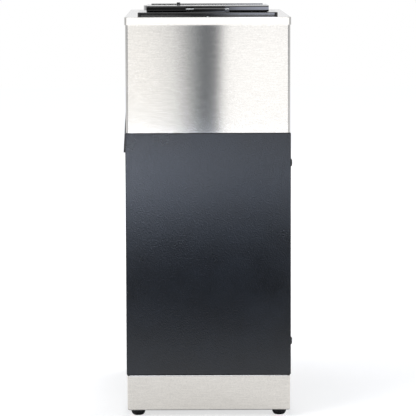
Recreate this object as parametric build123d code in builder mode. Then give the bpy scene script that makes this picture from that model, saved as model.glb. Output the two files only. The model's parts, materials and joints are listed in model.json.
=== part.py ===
# Narrow pourover coffee brewer: every piece as its own solid, in millimetres.
# Front is -Y, rear is +Y, +Z is up, and the origin is under the middle of the whole machine.
import os
from math import cos, radians, sin

from build123d import *

os.makedirs("parts", exist_ok=True)

# Body: base, trunk and head share one width, and the base and head share one depth
body_width = 201.0
body_depth = 372.0
trunk_depth = 150.0
sheet = 1.0
corner_radius = 3.0
foot_height = 8.5
base_height = 43.8
trunk_height = 299.5
head_height = 139.8
seat_gap = 0.3

# Feet and base floor
foot_radius = 8.75
foot_edge = 3.0
foot_inset = 13.0
foot_depth_inset = 20.0
base_lip = 26.0
foot_screw_radius = 2.0
foot_screw_head = 4.0
foot_screw_head_height = 2.4
nut_height = 3.2
screw_clearance = 0.15

# Cord gland, terminal block and wiring opening
gland_x = -60.0
gland_depth = 60.0
gland_bore = 4.2
gland_neck = 8.0
gland_flange = 11.0
gland_flange_height = 2.0
gland_neck_height = 9.0
terminal_size = (40.0, 20.0, 18.0)
terminal_depth = 95.0
wiring_opening = (50.0, 76.0)

# Rear cover
cover_skin = 0.8
cover_flange = 24.0
cover_edge_gap = 0.9
cover_screw_depth = 8.0
cover_screw_heights = (93.8, 314.5)
cover_screw_head = 4.8
cover_screw_head_height = 2.0
cover_screw_radius = 2.0
screw_slot = 1.1
hook_heights = (110.0, 290.0)
hook_reach = 4.0
hook_length = 10.0
hook_depth = 10.0

# Tank, its shelf and its lid
shelf_height = 47.0
shelf_sheet = 1.2
shelf_flange = 15.0
shelf_corner_cut = (24.0, 26.0)
tank_radius = 62.0
tank_height = 200.0
tank_wall = 1.0
tank_depth = 75.0
tank_flange = 70.0
tank_flange_thickness = 1.5
gasket_thickness = 2.0
tank_lid_thickness = 1.5
tank_bolt_circle = 66.2
tank_bolt_radius = 1.6
tank_bolt_count = 8
tank_bolt_head = 3.0
tank_bolt_head_height = 2.0
insulation_wall = 9.0
insulation_top_drop = 8.0
heater_half_spacing = 20.0
heater_depth = 88.0
heater_radius = 4.0
heater_floor_gap = 25.0
heater_bend = 15.0
fill_depth = 63.0
fill_outer = 6.2
fill_bore = 5.2
fill_floor_gap = 14.0
hole_gap = 0.2

# Spray line and head floor
funnel_depth = 262.0
head_floor_rise = 5.0
head_floor_flange = 10.0
spray_outlet_depth = 108.0
spray_rise = 73.0
spray_tube_outer = 6.0
spray_tube_bore = 4.4
spray_bend = 20.0
fitting_thread = 7.0
fitting_bore = 3.5
fitting_flange = 10.0
fitting_flange_height = 5.0
fitting_barb = 4.3
fitting_barb_height = 14.0
spray_nut_radius = 11.0
spray_nut_height = 3.5
spray_head_radius = 32.0
spray_head_height = 4.8
spray_wall = 1.0
spray_hole = 1.0
spray_hole_count = 6
spray_hole_circle = 20.0

# Rails and funnel
rail_inner_half = 95.0
rail_sheet = 1.5
rail_lip = 7.0
rail_top_flange = 11.5
rail_drop = 16.0
rail_rear_depth = 160.0
rail_front_depth = 366.0
rail_screw_depths = (180.0, 346.0)
rail_screw_radius = 1.5
rail_screw_head = 3.2
rail_screw_head_height = 2.2
rail_screw_inset = 6.5
slide_gap = 0.3
funnel_flange_gap = 0.5
funnel_flange_length = 120.0
funnel_flange_radius = 90.0
funnel_flange_thickness = 3.0
funnel_top_radius = 86.0
funnel_shoulder_radius = 80.0
funnel_cone_radius = 58.0
funnel_neck_radius = 13.0
funnel_spout_radius = 10.0
funnel_spout_bore = 6.5
funnel_wall = 2.4
funnel_shoulder_drop = 38.0
funnel_cone_drop = 70.0
funnel_neck_drop = 84.0
funnel_spout_drop = 96.0
basket_ledge_drop = 8.0
basket_rim_width = 4.5
basket_rim_thickness = 1.5
basket_wall = 0.9
basket_floor_drop = 64.0
basket_floor_radius = 50.0
basket_slots = 16
basket_slot_width = 3.0
handle_length = 170.0
handle_width = 26.0
handle_root_height = 20.0
handle_tip_height = 11.0
handle_top_drop = 1.0
handle_edge = 3.0

# Fascia shroud, flaring downwards
fascia_rise = 42.5
fascia_drop = 36.5
fascia_front_drop = 2.0
fascia_top_proud = 2.2
fascia_bottom_proud = 6.8
fascia_top_wall = 1.9
fascia_bottom_wall = 2.4
fascia_rear_depth = 155.0
fascia_window_half = 96.0
fascia_corner_top = 4.4
fascia_corner_bottom = 8.0
fascia_boss_radius = 5.0
fascia_boss_rise = 29.5
fascia_boss_depths = (200.0, 330.0)
fascia_screw_radius = 1.5
fascia_screw_head = 3.4
fascia_screw_head_height = 2.2
fascia_screw_reach = 1.4

# Top cap, lid frame, lid and pour basin
cap_thickness = 1.2
cap_overhang = 1.0
cap_wall = 0.9
cap_rim_height = 9.5
cap_opening_gap = 0.5
rivet_radius = 2.0
rivet_dome = 1.3
rivet_depth = 9.6
frame_width = 171.0
frame_length = 110.0
frame_height = 5.6
frame_rear_depth = 8.0
frame_corner = 4.0
frame_mouth_inset = 24.0
arch_width = 13.0
arch_height = 2.8
arch_depth = 4.0
lid_width = 149.5
lid_length = 91.0
lid_rear_depth = 18.0
lid_gap = 0.4
lid_height = 7.3
lid_corner = 5.0
lid_wall = 2.2
lid_top_wall = 2.5
lid_rear_block = 12.0
lid_lip_height = 0.8
lid_lip_width = 3.0
lid_lip_margin = 5.0
nub_x = 35.8
nub_radius = 2.2
nub_height = 1.5
recess_width = 53.0
recess_length = 8.5
recess_roof = 1.0
hinge_inset = 2.6
hinge_rise = 3.2
hinge_pin_radius = 1.5
hinge_pin_half = 36.0
running_gap = 0.05
knuckle_radius = 2.8
knuckle_left = 17.0
knuckle_right = -20.9
lid_bottom_fillet = 2.2
lid_top_fillet = 1.5
basin_flange = 1.0
basin_length = 74.0
basin_width = 133.0
basin_flange_margin = 4.5
basin_wall = 1.0
basin_floor_width = 90.0
basin_floor_length = 50.0
basin_depth = 29.5
basin_spout = 5.0
basin_spout_bore = 4.0
basin_spout_length = 20.0
spout_overlap = 12.0
strainer_radius = 16.0
strainer_dome = 3.0
strainer_holes = 12

# Warmers
lower_warmer_depth = 262.0
upper_warmer_depth = 250.0
warmer_radius = 82.0
warmer_opening = 74.0
warmer_seal_height = 2.0
warmer_seal_width = 5.0
warmer_plate_rise = 5.0
warmer_plate_thickness = 2.0
warmer_rim_height = 1.5
warmer_rim_width = 2.0
element_ring = 50.0
element_radius = 3.3
element_leg_drop = 10.0
element_tab = 5.0
clamp_width = 20.0
clamp_sheet = 1.5
clamp_drop = 14.0
clamp_half_length = 80.0
stud_radius = 2.5
stud_drop = 21.0
warmer_nut_radius = 5.0
warmer_nut_height = 4.0

# Switches, lamp and thermostats
switch_xs = (52.0, 0.0, -52.0)
switch_rise = 91.5
switch_bezel = (15.0, 30.0, 2.0)
switch_body = (13.0, 27.6, 20.0)
switch_cavity = (11.4, 25.6, 12.0)
rocker_width = 10.8
rocker_pivot_inset = 4.0
rocker_half_length = 11.5
rocker_throw = 14.0
rocker_front = 7.5
rocker_waist = 6.2
trunnion_radius = 1.5
trunnion_half = 6.3
lamp_x = 82.0
lamp_radius = 6.0
lamp_body_radius = 4.4
lamp_dome = 3.0
lamp_length = 18.0
thermostat_size = (32.0, 36.0, 30.0)
thermostat_x = -66.0
thermostat_depth = 208.0
bulb_x = -38.0
bulb_depth = 70.0
bulb_radius = 3.0
bulb_top_drop = 20.0
bulb_length = 90.0
capillary_radius = 1.2
limit_radius = 9.0
limit_height = 7.0
limit_x = 36.0
limit_depth = 66.0
lead_radius = 3.5
lead_start_rise = 11.0
lead_riser_rise = 31.0
lead_riser_inset = 13.0
lead_end_reach = 25.0
lead_bends = (18.0, 18.0, 14.0, 14.0)
harness_radius = 3.0
harness_reach = 16.0
harness_turn = (-40.0, 290.0, 40.0)
harness_end_reach = 24.0
harness_bends = (12.0, 18.0, 14.0)
jumper_radius = 2.1
jumper_reach = 14.0
jumper_bend = 8.0

# Heights and places that follow from the sizes above
half_width = body_width / 2
base_top = foot_height + base_height
trunk_top = base_top + trunk_height
head_top = trunk_top + head_height
cap_top = head_top + cap_thickness
handle_tip_depth = funnel_depth + handle_length
rear_y = (handle_tip_depth - cap_overhang) / 2
floor_top = foot_height + 2 * sheet
shelf_top = base_top + shelf_height + shelf_sheet
tank_top = shelf_top + tank_height
gasket_top = tank_top + gasket_thickness
tank_lid_top = gasket_top + tank_lid_thickness
head_floor_bottom = trunk_top + head_floor_rise
head_floor_top = head_floor_bottom + sheet
frame_top = cap_top + frame_height
lid_bottom = frame_top + lid_gap
lid_top = lid_bottom + lid_height
rail_bottom = head_floor_bottom - rail_drop
funnel_flange_bottom = rail_bottom + rail_sheet + slide_gap
funnel_top = funnel_flange_bottom + funnel_flange_thickness
switch_z = trunk_top + switch_rise


# The Y place of a depth, counted forwards from the machine's rear plane
def at(depth):
    return rear_y - depth


# A depth range as a Y range
def span(rear, front):
    return (at(front), at(rear))


def slab(x, y, z, mode=Mode.ADD):
    with Locations(((x[0] + x[1]) / 2, (y[0] + y[1]) / 2, (z[0] + z[1]) / 2)):
        Box(x[1] - x[0], y[1] - y[0], z[1] - z[0], mode=mode)


def post(x, y, z, radius, mode=Mode.ADD):
    with Locations((x, y, (z[0] + z[1]) / 2)):
        Cylinder(radius, z[1] - z[0], mode=mode)


def rod(start, end, radius, mode=Mode.ADD):
    line = Vector(end) - Vector(start)
    with BuildSketch(Plane(origin=start, z_dir=line)) as section:
        Circle(radius)
    extrude(section.sketch, amount=line.length, mode=mode)


def rounded_block(width, y, z, radius, mode=Mode.ADD):
    with BuildSketch(Plane.XY.offset(z[0])) as outline:
        with Locations((0, (y[0] + y[1]) / 2)):
            RectangleRounded(width, y[1] - y[0], radius)
    extrude(outline.sketch, amount=z[1] - z[0], mode=mode)


# A round tube along straight runs joined by arcs
def tube(points, bends, radius, bore=0.0):
    with BuildLine() as route:
        FilletPolyline(*points, radius=bends)
    with BuildSketch(Plane(origin=route.line @ 0, z_dir=route.line % 0)) as section:
        Circle(radius)
        if bore > 0:
            Circle(bore, mode=Mode.SUBTRACT)
    sweep(section.sketch, path=route.line)


# A solid turned about a vertical axis, from its half section as radius and height pairs
def turned(x, y, section, mode=Mode.ADD):
    with BuildSketch(Plane(origin=(x, y, 0), x_dir=(1, 0, 0), z_dir=(0, -1, 0))) as half:
        with BuildLine():
            Polyline(*section, close=True)
        make_face()
    revolve(half.sketch, axis=Axis((x, y, 0), (0, 0, 1)), mode=mode)


foot_places = [
    (side * (half_width - foot_inset), at(depth))
    for side in (1, -1)
    for depth in (foot_depth_inset, body_depth - foot_depth_inset)
]

# Base shell: an open-bottomed box with an in-turned lip, a warmer opening and a wiring opening
with BuildPart() as base_shell:
    rounded_block(body_width, span(0, body_depth), (foot_height, base_top), corner_radius)
    rounded_block(
        body_width - 2 * sheet,
        span(sheet, body_depth - sheet),
        (foot_height + sheet, base_top - sheet),
        corner_radius - sheet,
        Mode.SUBTRACT,
    )
    slab(
        (base_lip - half_width, half_width - base_lip),
        span(base_lip, body_depth - base_lip),
        (foot_height, foot_height + sheet),
        Mode.SUBTRACT,
    )
    for x, y in foot_places:
        post(x, y, (foot_height, foot_height + sheet), foot_screw_radius + screw_clearance, Mode.SUBTRACT)
    post(0, at(lower_warmer_depth), (base_top - sheet, base_top), warmer_opening, Mode.SUBTRACT)
    slab(
        (gland_x - wiring_opening[0] / 2, gland_x + wiring_opening[0] / 2),
        span(gland_depth - wiring_opening[1] / 4, gland_depth + wiring_opening[1] * 3 / 4),
        (base_top - sheet, base_top),
        Mode.SUBTRACT,
    )
base_shell.part.label = "base_shell"
export_step(base_shell.part, "parts/base_shell.step")

with BuildPart() as base_floor:
    rounded_block(
        body_width - 2 * (sheet + seat_gap),
        span(sheet + seat_gap, body_depth - sheet - seat_gap),
        (foot_height + sheet, floor_top),
        corner_radius - sheet,
    )
    for x, y in foot_places:
        post(x, y, (foot_height + sheet, floor_top), foot_screw_radius + screw_clearance, Mode.SUBTRACT)
    post(gland_x, at(gland_depth), (foot_height, floor_top), gland_neck + hole_gap, Mode.SUBTRACT)
base_floor.part.label = "base_floor"
export_step(base_floor.part, "parts/base_floor.step")

# Rubber feet, each with a counterbore for its screw
foot_head_seat = foot_height - foot_screw_head_height - 1.0
with BuildPart() as rubber_feet:
    for x, y in foot_places:
        turned(
            x,
            y,
            [
                (foot_screw_radius + screw_clearance, foot_height),
                (foot_radius, foot_height),
                (foot_radius, foot_edge),
                (foot_radius - foot_edge, 0),
                (foot_screw_head + 2 * screw_clearance, 0),
                (foot_screw_head + 2 * screw_clearance, foot_head_seat),
                (foot_screw_radius + screw_clearance, foot_head_seat),
            ],
        )
rubber_feet.part.label = "rubber_feet"
export_step(rubber_feet.part, "parts/rubber_feet.step")

with BuildPart() as foot_screws:
    for x, y in foot_places:
        post(x, y, (foot_head_seat - foot_screw_head_height, foot_head_seat), foot_screw_head)
        post(x, y, (foot_head_seat, floor_top + nut_height + 1.0), foot_screw_radius)
foot_screws.part.label = "foot_screws"
export_step(foot_screws.part, "parts/foot_screws.step")

with BuildPart() as foot_nuts:
    for x, y in foot_places:
        with BuildSketch(Plane.XY.offset(floor_top)):
            with Locations((x, y)):
                RegularPolygon(foot_screw_head, 6)
                Circle(foot_screw_radius + running_gap, mode=Mode.SUBTRACT)
        extrude(amount=nut_height)
foot_nuts.part.label = "foot_nuts"
export_step(foot_nuts.part, "parts/foot_nuts.step")

# Cord gland through the base floor, with its nut above the floor
with BuildPart() as cord_gland:
    turned(
        gland_x,
        at(gland_depth),
        [
            (gland_bore, foot_height + sheet - gland_flange_height),
            (gland_flange, foot_height + sheet - gland_flange_height),
            (gland_flange, foot_height + sheet),
            (gland_neck, foot_height + sheet),
            (gland_neck, foot_height + sheet + gland_neck_height),
            (gland_bore, foot_height + sheet + gland_neck_height),
        ],
    )
cord_gland.part.label = "cord_gland"
export_step(cord_gland.part, "parts/cord_gland.step")

with BuildPart() as gland_nut:
    with BuildSketch(Plane.XY.offset(floor_top)):
        with Locations((gland_x, at(gland_depth))):
            RegularPolygon(gland_flange, 6)
            Circle(gland_neck + running_gap, mode=Mode.SUBTRACT)
    extrude(amount=nut_height)
gland_nut.part.label = "gland_nut"
export_step(gland_nut.part, "parts/gland_nut.step")

terminal_top = floor_top + terminal_size[2]
with BuildPart() as terminal_block:
    slab(
        (gland_x - terminal_size[0] / 2, gland_x + terminal_size[0] / 2),
        span(terminal_depth - terminal_size[1] / 2, terminal_depth + terminal_size[1] / 2),
        (floor_top, terminal_top),
    )
    terminal_pitch = terminal_size[0] / 4
    for step in (-1, 0, 1):
        with Locations((gland_x + step * terminal_pitch, at(terminal_depth - terminal_size[1] / 4), terminal_top)):
            Hole(terminal_pitch / 4, depth=terminal_size[2] / 2)
terminal_block.part.label = "terminal_block"
export_step(terminal_block.part, "parts/terminal_block.step")

# Trunk frame: a channel with its front wall to the decanter bay, open at the rear
trunk_rear = cover_skin + seat_gap
with BuildPart() as trunk_frame:
    slab((-half_width, half_width), span(trunk_rear, trunk_depth), (base_top, trunk_top))
    slab(
        (sheet - half_width, half_width - sheet),
        span(0, trunk_depth - sheet),
        (base_top, trunk_top),
        Mode.SUBTRACT,
    )
    # In-turned rear flanges that stiffen the channel
    for side in (1, -1):
        inner = side * (half_width - cover_flange / 2)
        outer = side * (half_width - sheet / 2)
        slab(
            (min(inner, outer), max(inner, outer)),
            span(trunk_rear, trunk_rear + sheet),
            (base_top, trunk_top),
        )
    for height in cover_screw_heights:
        rod(
            (-half_width - 1, at(cover_screw_depth), height),
            (sheet - half_width + 1, at(cover_screw_depth), height),
            cover_screw_radius + screw_clearance,
            Mode.SUBTRACT,
        )
    for height in hook_heights:
        slab(
            (half_width - sheet - 1, half_width + 1),
            span(hook_depth - seat_gap, hook_depth + cover_skin + seat_gap),
            (height - seat_gap, height + hook_length + seat_gap),
            Mode.SUBTRACT,
        )
trunk_frame.part.label = "trunk_frame"
export_step(trunk_frame.part, "parts/trunk_frame.step")

# Rear cover: wraps the trunk, screwed at one side and hooked at the other
cover_half = half_width + cover_skin
cover_z = (base_top + cover_edge_gap, trunk_top - cover_edge_gap)
with BuildPart() as rear_cover:
    slab((-cover_half, cover_half), span(0, cover_flange), cover_z)
    fillet(rear_cover.edges().filter_by(Axis.Z).group_by(Axis.Y)[-1], radius=cover_skin)
    slab((-half_width, half_width), span(cover_skin, cover_flange), cover_z, Mode.SUBTRACT)
    for height in cover_screw_heights:
        rod(
            (-cover_half - 1, at(cover_screw_depth), height),
            (1 - half_width, at(cover_screw_depth), height),
            cover_screw_radius + screw_clearance,
            Mode.SUBTRACT,
        )
    for height in hook_heights:
        slab(
            (half_width - hook_reach, half_width + cover_skin / 2),
            span(hook_depth, hook_depth + cover_skin),
            (height, height + hook_length),
        )
rear_cover.part.label = "rear_cover"
export_step(rear_cover.part, "parts/rear_cover.step")

# Cover screws: domed slotted heads on the outside, nuts inside the frame
with BuildPart() as cover_screws:
    for height, slot_axis in zip(cover_screw_heights, (Axis.Z, Axis.Y)):
        seat = (-cover_half, at(cover_screw_depth), height)
        with BuildSketch(Plane(origin=seat, x_dir=(0, 1, 0), z_dir=(-1, 0, 0))):
            Circle(cover_screw_head)
        extrude(amount=cover_screw_head_height)
        crown = cover_screws.edges().group_by(Axis.X)[0]
        fillet(crown.filter_by(GeomType.CIRCLE), radius=cover_screw_head_height * 0.6)
        top = -cover_half - cover_screw_head_height
        wide = cover_screw_head + 1 if slot_axis == Axis.Y else screw_slot / 2
        tall = cover_screw_head + 1 if slot_axis == Axis.Z else screw_slot / 2
        slab(
            (top - 1, top + screw_slot),
            (seat[1] - wide, seat[1] + wide),
            (height - tall, height + tall),
            Mode.SUBTRACT,
        )
        rod(seat, (sheet + nut_height + 1 - half_width, seat[1], height), cover_screw_radius)
cover_screws.part.label = "cover_screws"
export_step(cover_screws.part, "parts/cover_screws.step")

with BuildPart() as cover_nuts:
    for height in cover_screw_heights:
        place = (sheet - half_width, at(cover_screw_depth), height)
        with BuildSketch(Plane(origin=place, x_dir=(0, 1, 0), z_dir=(1, 0, 0))):
            RegularPolygon(cover_screw_head, 6)
            Circle(cover_screw_radius + running_gap, mode=Mode.SUBTRACT)
        extrude(amount=nut_height)
cover_nuts.part.label = "cover_nuts"
export_step(cover_nuts.part, "parts/cover_nuts.step")

# Tank shelf across the trunk, with a corner left open for the supply lead
shelf_half = half_width - sheet
shelf_rear = trunk_rear + sheet + cover_flange / 2
with BuildPart() as tank_shelf:
    slab((-shelf_half, shelf_half), span(shelf_rear, trunk_depth - sheet), (shelf_top - shelf_sheet, shelf_top))
    for side in (1, -1):
        edges = sorted((side * shelf_half, side * (shelf_half - shelf_sheet)))
        slab(edges, span(shelf_rear, trunk_depth - sheet), (shelf_top - shelf_flange, shelf_top))
    slab(
        (-shelf_half - 1, shelf_corner_cut[0] - shelf_half),
        span(trunk_depth - shelf_corner_cut[1], trunk_depth),
        (shelf_top - shelf_flange - 1, shelf_top + 1),
        Mode.SUBTRACT,
    )
tank_shelf.part.label = "tank_shelf"
export_step(tank_shelf.part, "parts/tank_shelf.step")

# Water tank, its gasket, lid, bolts and nuts
tank_y = at(tank_depth)
tank_bolt_places = [
    (
        tank_bolt_circle * cos(radians(360 * (step + 0.5) / tank_bolt_count)),
        tank_y + tank_bolt_circle * sin(radians(360 * (step + 0.5) / tank_bolt_count)),
    )
    for step in range(tank_bolt_count)
]
heater_xs = (heater_half_spacing, -heater_half_spacing)

with BuildPart() as water_tank:
    post(0, tank_y, (shelf_top, tank_top), tank_radius)
    post(0, tank_y, (tank_top - tank_flange_thickness, tank_top), tank_flange)
    post(0, tank_y, (shelf_top + tank_wall, tank_top), tank_radius - tank_wall, Mode.SUBTRACT)
    for x, y in tank_bolt_places:
        post(x, y, (tank_top - tank_flange_thickness, tank_top), tank_bolt_radius + hole_gap, Mode.SUBTRACT)
water_tank.part.label = "water_tank"
export_step(water_tank.part, "parts/water_tank.step")

with BuildPart() as tank_gasket:
    post(0, tank_y, (tank_top, gasket_top), tank_flange)
    post(0, tank_y, (tank_top, gasket_top), tank_radius - tank_wall, Mode.SUBTRACT)
    for x, y in tank_bolt_places:
        post(x, y, (tank_top, gasket_top), tank_bolt_radius + hole_gap, Mode.SUBTRACT)
tank_gasket.part.label = "tank_gasket"
export_step(tank_gasket.part, "parts/tank_gasket.step")

with BuildPart() as tank_lid:
    post(0, tank_y, (gasket_top, tank_lid_top), tank_flange)
    for x, y in tank_bolt_places:
        post(x, y, (gasket_top, tank_lid_top), tank_bolt_radius + hole_gap, Mode.SUBTRACT)
    for x in heater_xs:
        post(x, at(heater_depth), (gasket_top, tank_lid_top), heater_radius + hole_gap, Mode.SUBTRACT)
    post(0, at(fill_depth), (gasket_top, tank_lid_top), fill_outer + hole_gap, Mode.SUBTRACT)
    post(0, at(spray_outlet_depth), (gasket_top, tank_lid_top), spray_tube_outer + hole_gap, Mode.SUBTRACT)
    post(bulb_x, at(bulb_depth), (gasket_top, tank_lid_top), bulb_radius + hole_gap, Mode.SUBTRACT)
tank_lid.part.label = "tank_lid"
export_step(tank_lid.part, "parts/tank_lid.step")

tank_flange_bottom = tank_top - tank_flange_thickness
with BuildPart() as tank_bolts:
    for x, y in tank_bolt_places:
        post(x, y, (tank_lid_top, tank_lid_top + tank_bolt_head_height), tank_bolt_head)
        post(x, y, (tank_flange_bottom - nut_height, tank_lid_top), tank_bolt_radius)
tank_bolts.part.label = "tank_bolts"
export_step(tank_bolts.part, "parts/tank_bolts.step")

with BuildPart() as tank_nuts:
    for x, y in tank_bolt_places:
        post(x, y, (tank_flange_bottom - nut_height, tank_flange_bottom), tank_bolt_head)
        post(x, y, (tank_flange_bottom - nut_height, tank_flange_bottom), tank_bolt_radius + running_gap, Mode.SUBTRACT)
tank_nuts.part.label = "tank_nuts"
export_step(tank_nuts.part, "parts/tank_nuts.step")

with BuildPart() as tank_insulation:
    post(0, tank_y, (shelf_top, tank_top - insulation_top_drop), tank_radius + seat_gap + insulation_wall)
    post(0, tank_y, (shelf_top, tank_top - insulation_top_drop), tank_radius + seat_gap, Mode.SUBTRACT)
tank_insulation.part.label = "tank_insulation"
export_step(tank_insulation.part, "parts/tank_insulation.step")

# Heater: one hairpin tube through the tank lid, with a terminal pin on each end
heater_end = tank_lid_top + 3 * heater_radius
heater_low = shelf_top + tank_wall + heater_floor_gap
with BuildPart() as tank_heater:
    tube(
        [
            (heater_xs[0], at(heater_depth), heater_end),
            (heater_xs[0], at(heater_depth), heater_low),
            (heater_xs[1], at(heater_depth), heater_low),
            (heater_xs[1], at(heater_depth), heater_end),
        ],
        heater_bend,
        heater_radius,
    )
    for x in heater_xs:
        post(x, at(heater_depth), (heater_end, heater_end + 2 * heater_radius), heater_radius / 2)
tank_heater.part.label = "tank_heater"
export_step(tank_heater.part, "parts/tank_heater.step")

# Basin heights, needed for the fill tube too
basin_top = cap_top + basin_flange
basin_bottom = basin_top - basin_depth
spout_bottom = basin_bottom - basin_spout_length

with BuildPart() as fill_tube:
    fill_z = (shelf_top + tank_wall + fill_floor_gap, spout_bottom + spout_overlap)
    post(0, at(fill_depth), fill_z, fill_outer)
    post(0, at(fill_depth), fill_z, fill_bore, Mode.SUBTRACT)
fill_tube.part.label = "fill_tube"
export_step(fill_tube.part, "parts/fill_tube.step")

with BuildPart() as spray_tube:
    spray_high = trunk_top + spray_rise
    tube(
        [
            (0, at(spray_outlet_depth), tank_top - spray_tube_outer),
            (0, at(spray_outlet_depth), spray_high),
            (0, at(funnel_depth), spray_high),
            (0, at(funnel_depth), head_floor_top + fitting_flange_height + sheet),
        ],
        spray_bend,
        spray_tube_outer,
        spray_tube_bore,
    )
spray_tube.part.label = "spray_tube"
export_step(spray_tube.part, "parts/spray_tube.step")

# Spray fitting through the head floor, its nut and the spray head screwed on below
spray_y = at(funnel_depth)
spray_head_top = head_floor_bottom - spray_nut_height
spray_head_bottom = spray_head_top - spray_head_height
fitting_bottom = spray_head_top - 2 * spray_wall
fitting_flange_top = head_floor_top + fitting_flange_height
with BuildPart() as spray_fitting:
    turned(
        0,
        spray_y,
        [
            (fitting_bore, fitting_bottom),
            (fitting_thread, fitting_bottom),
            (fitting_thread, head_floor_top),
            (fitting_flange, head_floor_top),
            (fitting_flange, fitting_flange_top),
            (fitting_barb, fitting_flange_top),
            (fitting_barb, fitting_flange_top + fitting_barb_height),
            (fitting_bore, fitting_flange_top + fitting_barb_height),
        ],
    )
spray_fitting.part.label = "spray_fitting"
export_step(spray_fitting.part, "parts/spray_fitting.step")

with BuildPart() as spray_nut:
    with BuildSketch(Plane.XY.offset(spray_head_top)):
        with Locations((0, spray_y)):
            RegularPolygon(spray_nut_radius, 6)
            Circle(fitting_thread + running_gap, mode=Mode.SUBTRACT)
    extrude(amount=spray_nut_height)
spray_nut.part.label = "spray_nut"
export_step(spray_nut.part, "parts/spray_nut.step")

with BuildPart() as spray_head:
    turned(
        0,
        spray_y,
        [
            (fitting_thread + running_gap, spray_head_top),
            (spray_head_radius, spray_head_top),
            (spray_head_radius, spray_head_bottom),
            (0, spray_head_bottom),
            (0, spray_head_bottom + spray_wall),
            (spray_head_radius - spray_wall, spray_head_bottom + spray_wall),
            (spray_head_radius - spray_wall, spray_head_top - spray_wall),
            (fitting_thread + running_gap, spray_head_top - spray_wall),
        ],
    )
    with BuildSketch(Plane.XY.offset(spray_head_bottom)):
        with Locations((0, spray_y)):
            Circle(spray_hole)
            with PolarLocations(spray_hole_circle, spray_hole_count):
                Circle(spray_hole)
    extrude(amount=spray_wall, mode=Mode.SUBTRACT)
spray_head.part.label = "spray_head"
export_step(spray_head.part, "parts/spray_head.step")

# Head floor over the decanter bay, with a rear flange down the trunk's front wall
rail_screw_x = rail_inner_half + rail_sheet - rail_screw_inset
rail_screw_places = [
    (side * rail_screw_x, at(depth)) for side in (1, -1) for depth in rail_screw_depths
]
with BuildPart() as head_floor:
    rounded_block(
        body_width - 2 * sheet,
        span(trunk_depth, body_depth - sheet),
        (head_floor_bottom, head_floor_top),
        corner_radius - sheet,
    )
    slab(
        (corner_radius - half_width, half_width - corner_radius),
        span(trunk_depth, trunk_depth + sheet),
        (head_floor_bottom - head_floor_flange, head_floor_top),
    )
    post(0, spray_y, (head_floor_bottom, head_floor_top), fitting_thread + hole_gap, Mode.SUBTRACT)
    for x, y in rail_screw_places:
        post(x, y, (head_floor_bottom, head_floor_top), rail_screw_radius + screw_clearance, Mode.SUBTRACT)
head_floor.part.label = "head_floor"
export_step(head_floor.part, "parts/head_floor.step")

# Funnel rails: one channel each side under the head floor
with BuildPart() as funnel_rails:
    for side in (1, -1):
        web = sorted((side * rail_inner_half, side * (rail_inner_half + rail_sheet)))
        lip = sorted((side * (rail_inner_half - rail_lip), side * (rail_inner_half + rail_sheet)))
        top = sorted((side * (rail_inner_half + rail_sheet - rail_top_flange), side * (rail_inner_half + rail_sheet)))
        rail_y = span(rail_rear_depth, rail_front_depth)
        slab(web, rail_y, (rail_bottom, head_floor_bottom))
        slab(lip, rail_y, (rail_bottom, rail_bottom + rail_sheet))
        slab(top, rail_y, (head_floor_bottom - rail_sheet, head_floor_bottom))
    for x, y in rail_screw_places:
        post(x, y, (head_floor_bottom - rail_sheet, head_floor_bottom), rail_screw_radius + screw_clearance, Mode.SUBTRACT)
funnel_rails.part.label = "funnel_rails"
export_step(funnel_rails.part, "parts/funnel_rails.step")

rail_screw_seat = head_floor_bottom - rail_sheet
with BuildPart() as rail_screws:
    for x, y in rail_screw_places:
        post(x, y, (rail_screw_seat - rail_screw_head_height, rail_screw_seat), rail_screw_head)
        post(x, y, (rail_screw_seat, head_floor_top + nut_height), rail_screw_radius)
rail_screws.part.label = "rail_screws"
export_step(rail_screws.part, "parts/rail_screws.step")

# Brew funnel: flanged bowl, cone, spout and handle
shoulder_z = funnel_top - funnel_shoulder_drop
cone_z = funnel_top - funnel_cone_drop
neck_z = funnel_top - funnel_neck_drop
spout_z = funnel_top - funnel_spout_drop
ledge_z = funnel_top - basket_ledge_drop
ledge_radius = funnel_shoulder_radius + 0.2
mouth_radius = ledge_radius + basket_rim_width / 2
funnel_flange_half = rail_inner_half - funnel_flange_gap
with BuildPart() as brew_funnel:
    turned(
        0,
        spray_y,
        [
            (0, spout_z),
            (funnel_spout_radius, spout_z),
            (funnel_neck_radius, neck_z),
            (funnel_cone_radius, cone_z),
            (funnel_shoulder_radius, shoulder_z),
            (funnel_top_radius, funnel_flange_bottom),
            (funnel_top_radius, funnel_top),
            (0, funnel_top),
        ],
    )
    with BuildSketch(Plane.XY.offset(funnel_flange_bottom)):
        with Locations((0, spray_y)):
            Circle(funnel_flange_radius)
            Rectangle(2 * funnel_flange_half, funnel_flange_length)
    extrude(amount=funnel_flange_thickness)
    # Handle: a tapered bar from the bowl's wall forwards, with rounded edges
    handle_top = funnel_flange_bottom - handle_top_drop
    handle_root = at(funnel_depth + funnel_shoulder_radius)
    with BuildSketch(Plane.YZ.offset(-handle_width / 2)):
        with BuildLine():
            Polyline(
                (handle_root, handle_top),
                (handle_root, handle_top - handle_root_height),
                (at(handle_tip_depth), handle_top - handle_tip_height),
                (at(handle_tip_depth), handle_top),
                close=True,
            )
        make_face()
    extrude(amount=handle_width)
    tip = brew_funnel.faces().sort_by(Axis.Y)[0]
    fillet(tip.edges(), radius=handle_edge)
    turned(
        0,
        spray_y,
        [
            (0, spout_z - 1),
            (funnel_spout_bore, spout_z - 1),
            (funnel_spout_bore, neck_z + funnel_wall),
            (funnel_cone_radius - funnel_wall, cone_z + funnel_wall),
            (funnel_shoulder_radius - funnel_wall, shoulder_z + funnel_wall / 2),
            (ledge_radius, ledge_z),
            (mouth_radius, ledge_z),
            (mouth_radius, funnel_top + 1),
            (0, funnel_top + 1),
        ],
        Mode.SUBTRACT,
    )
brew_funnel.part.label = "brew_funnel"
export_step(brew_funnel.part, "parts/brew_funnel.step")

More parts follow.
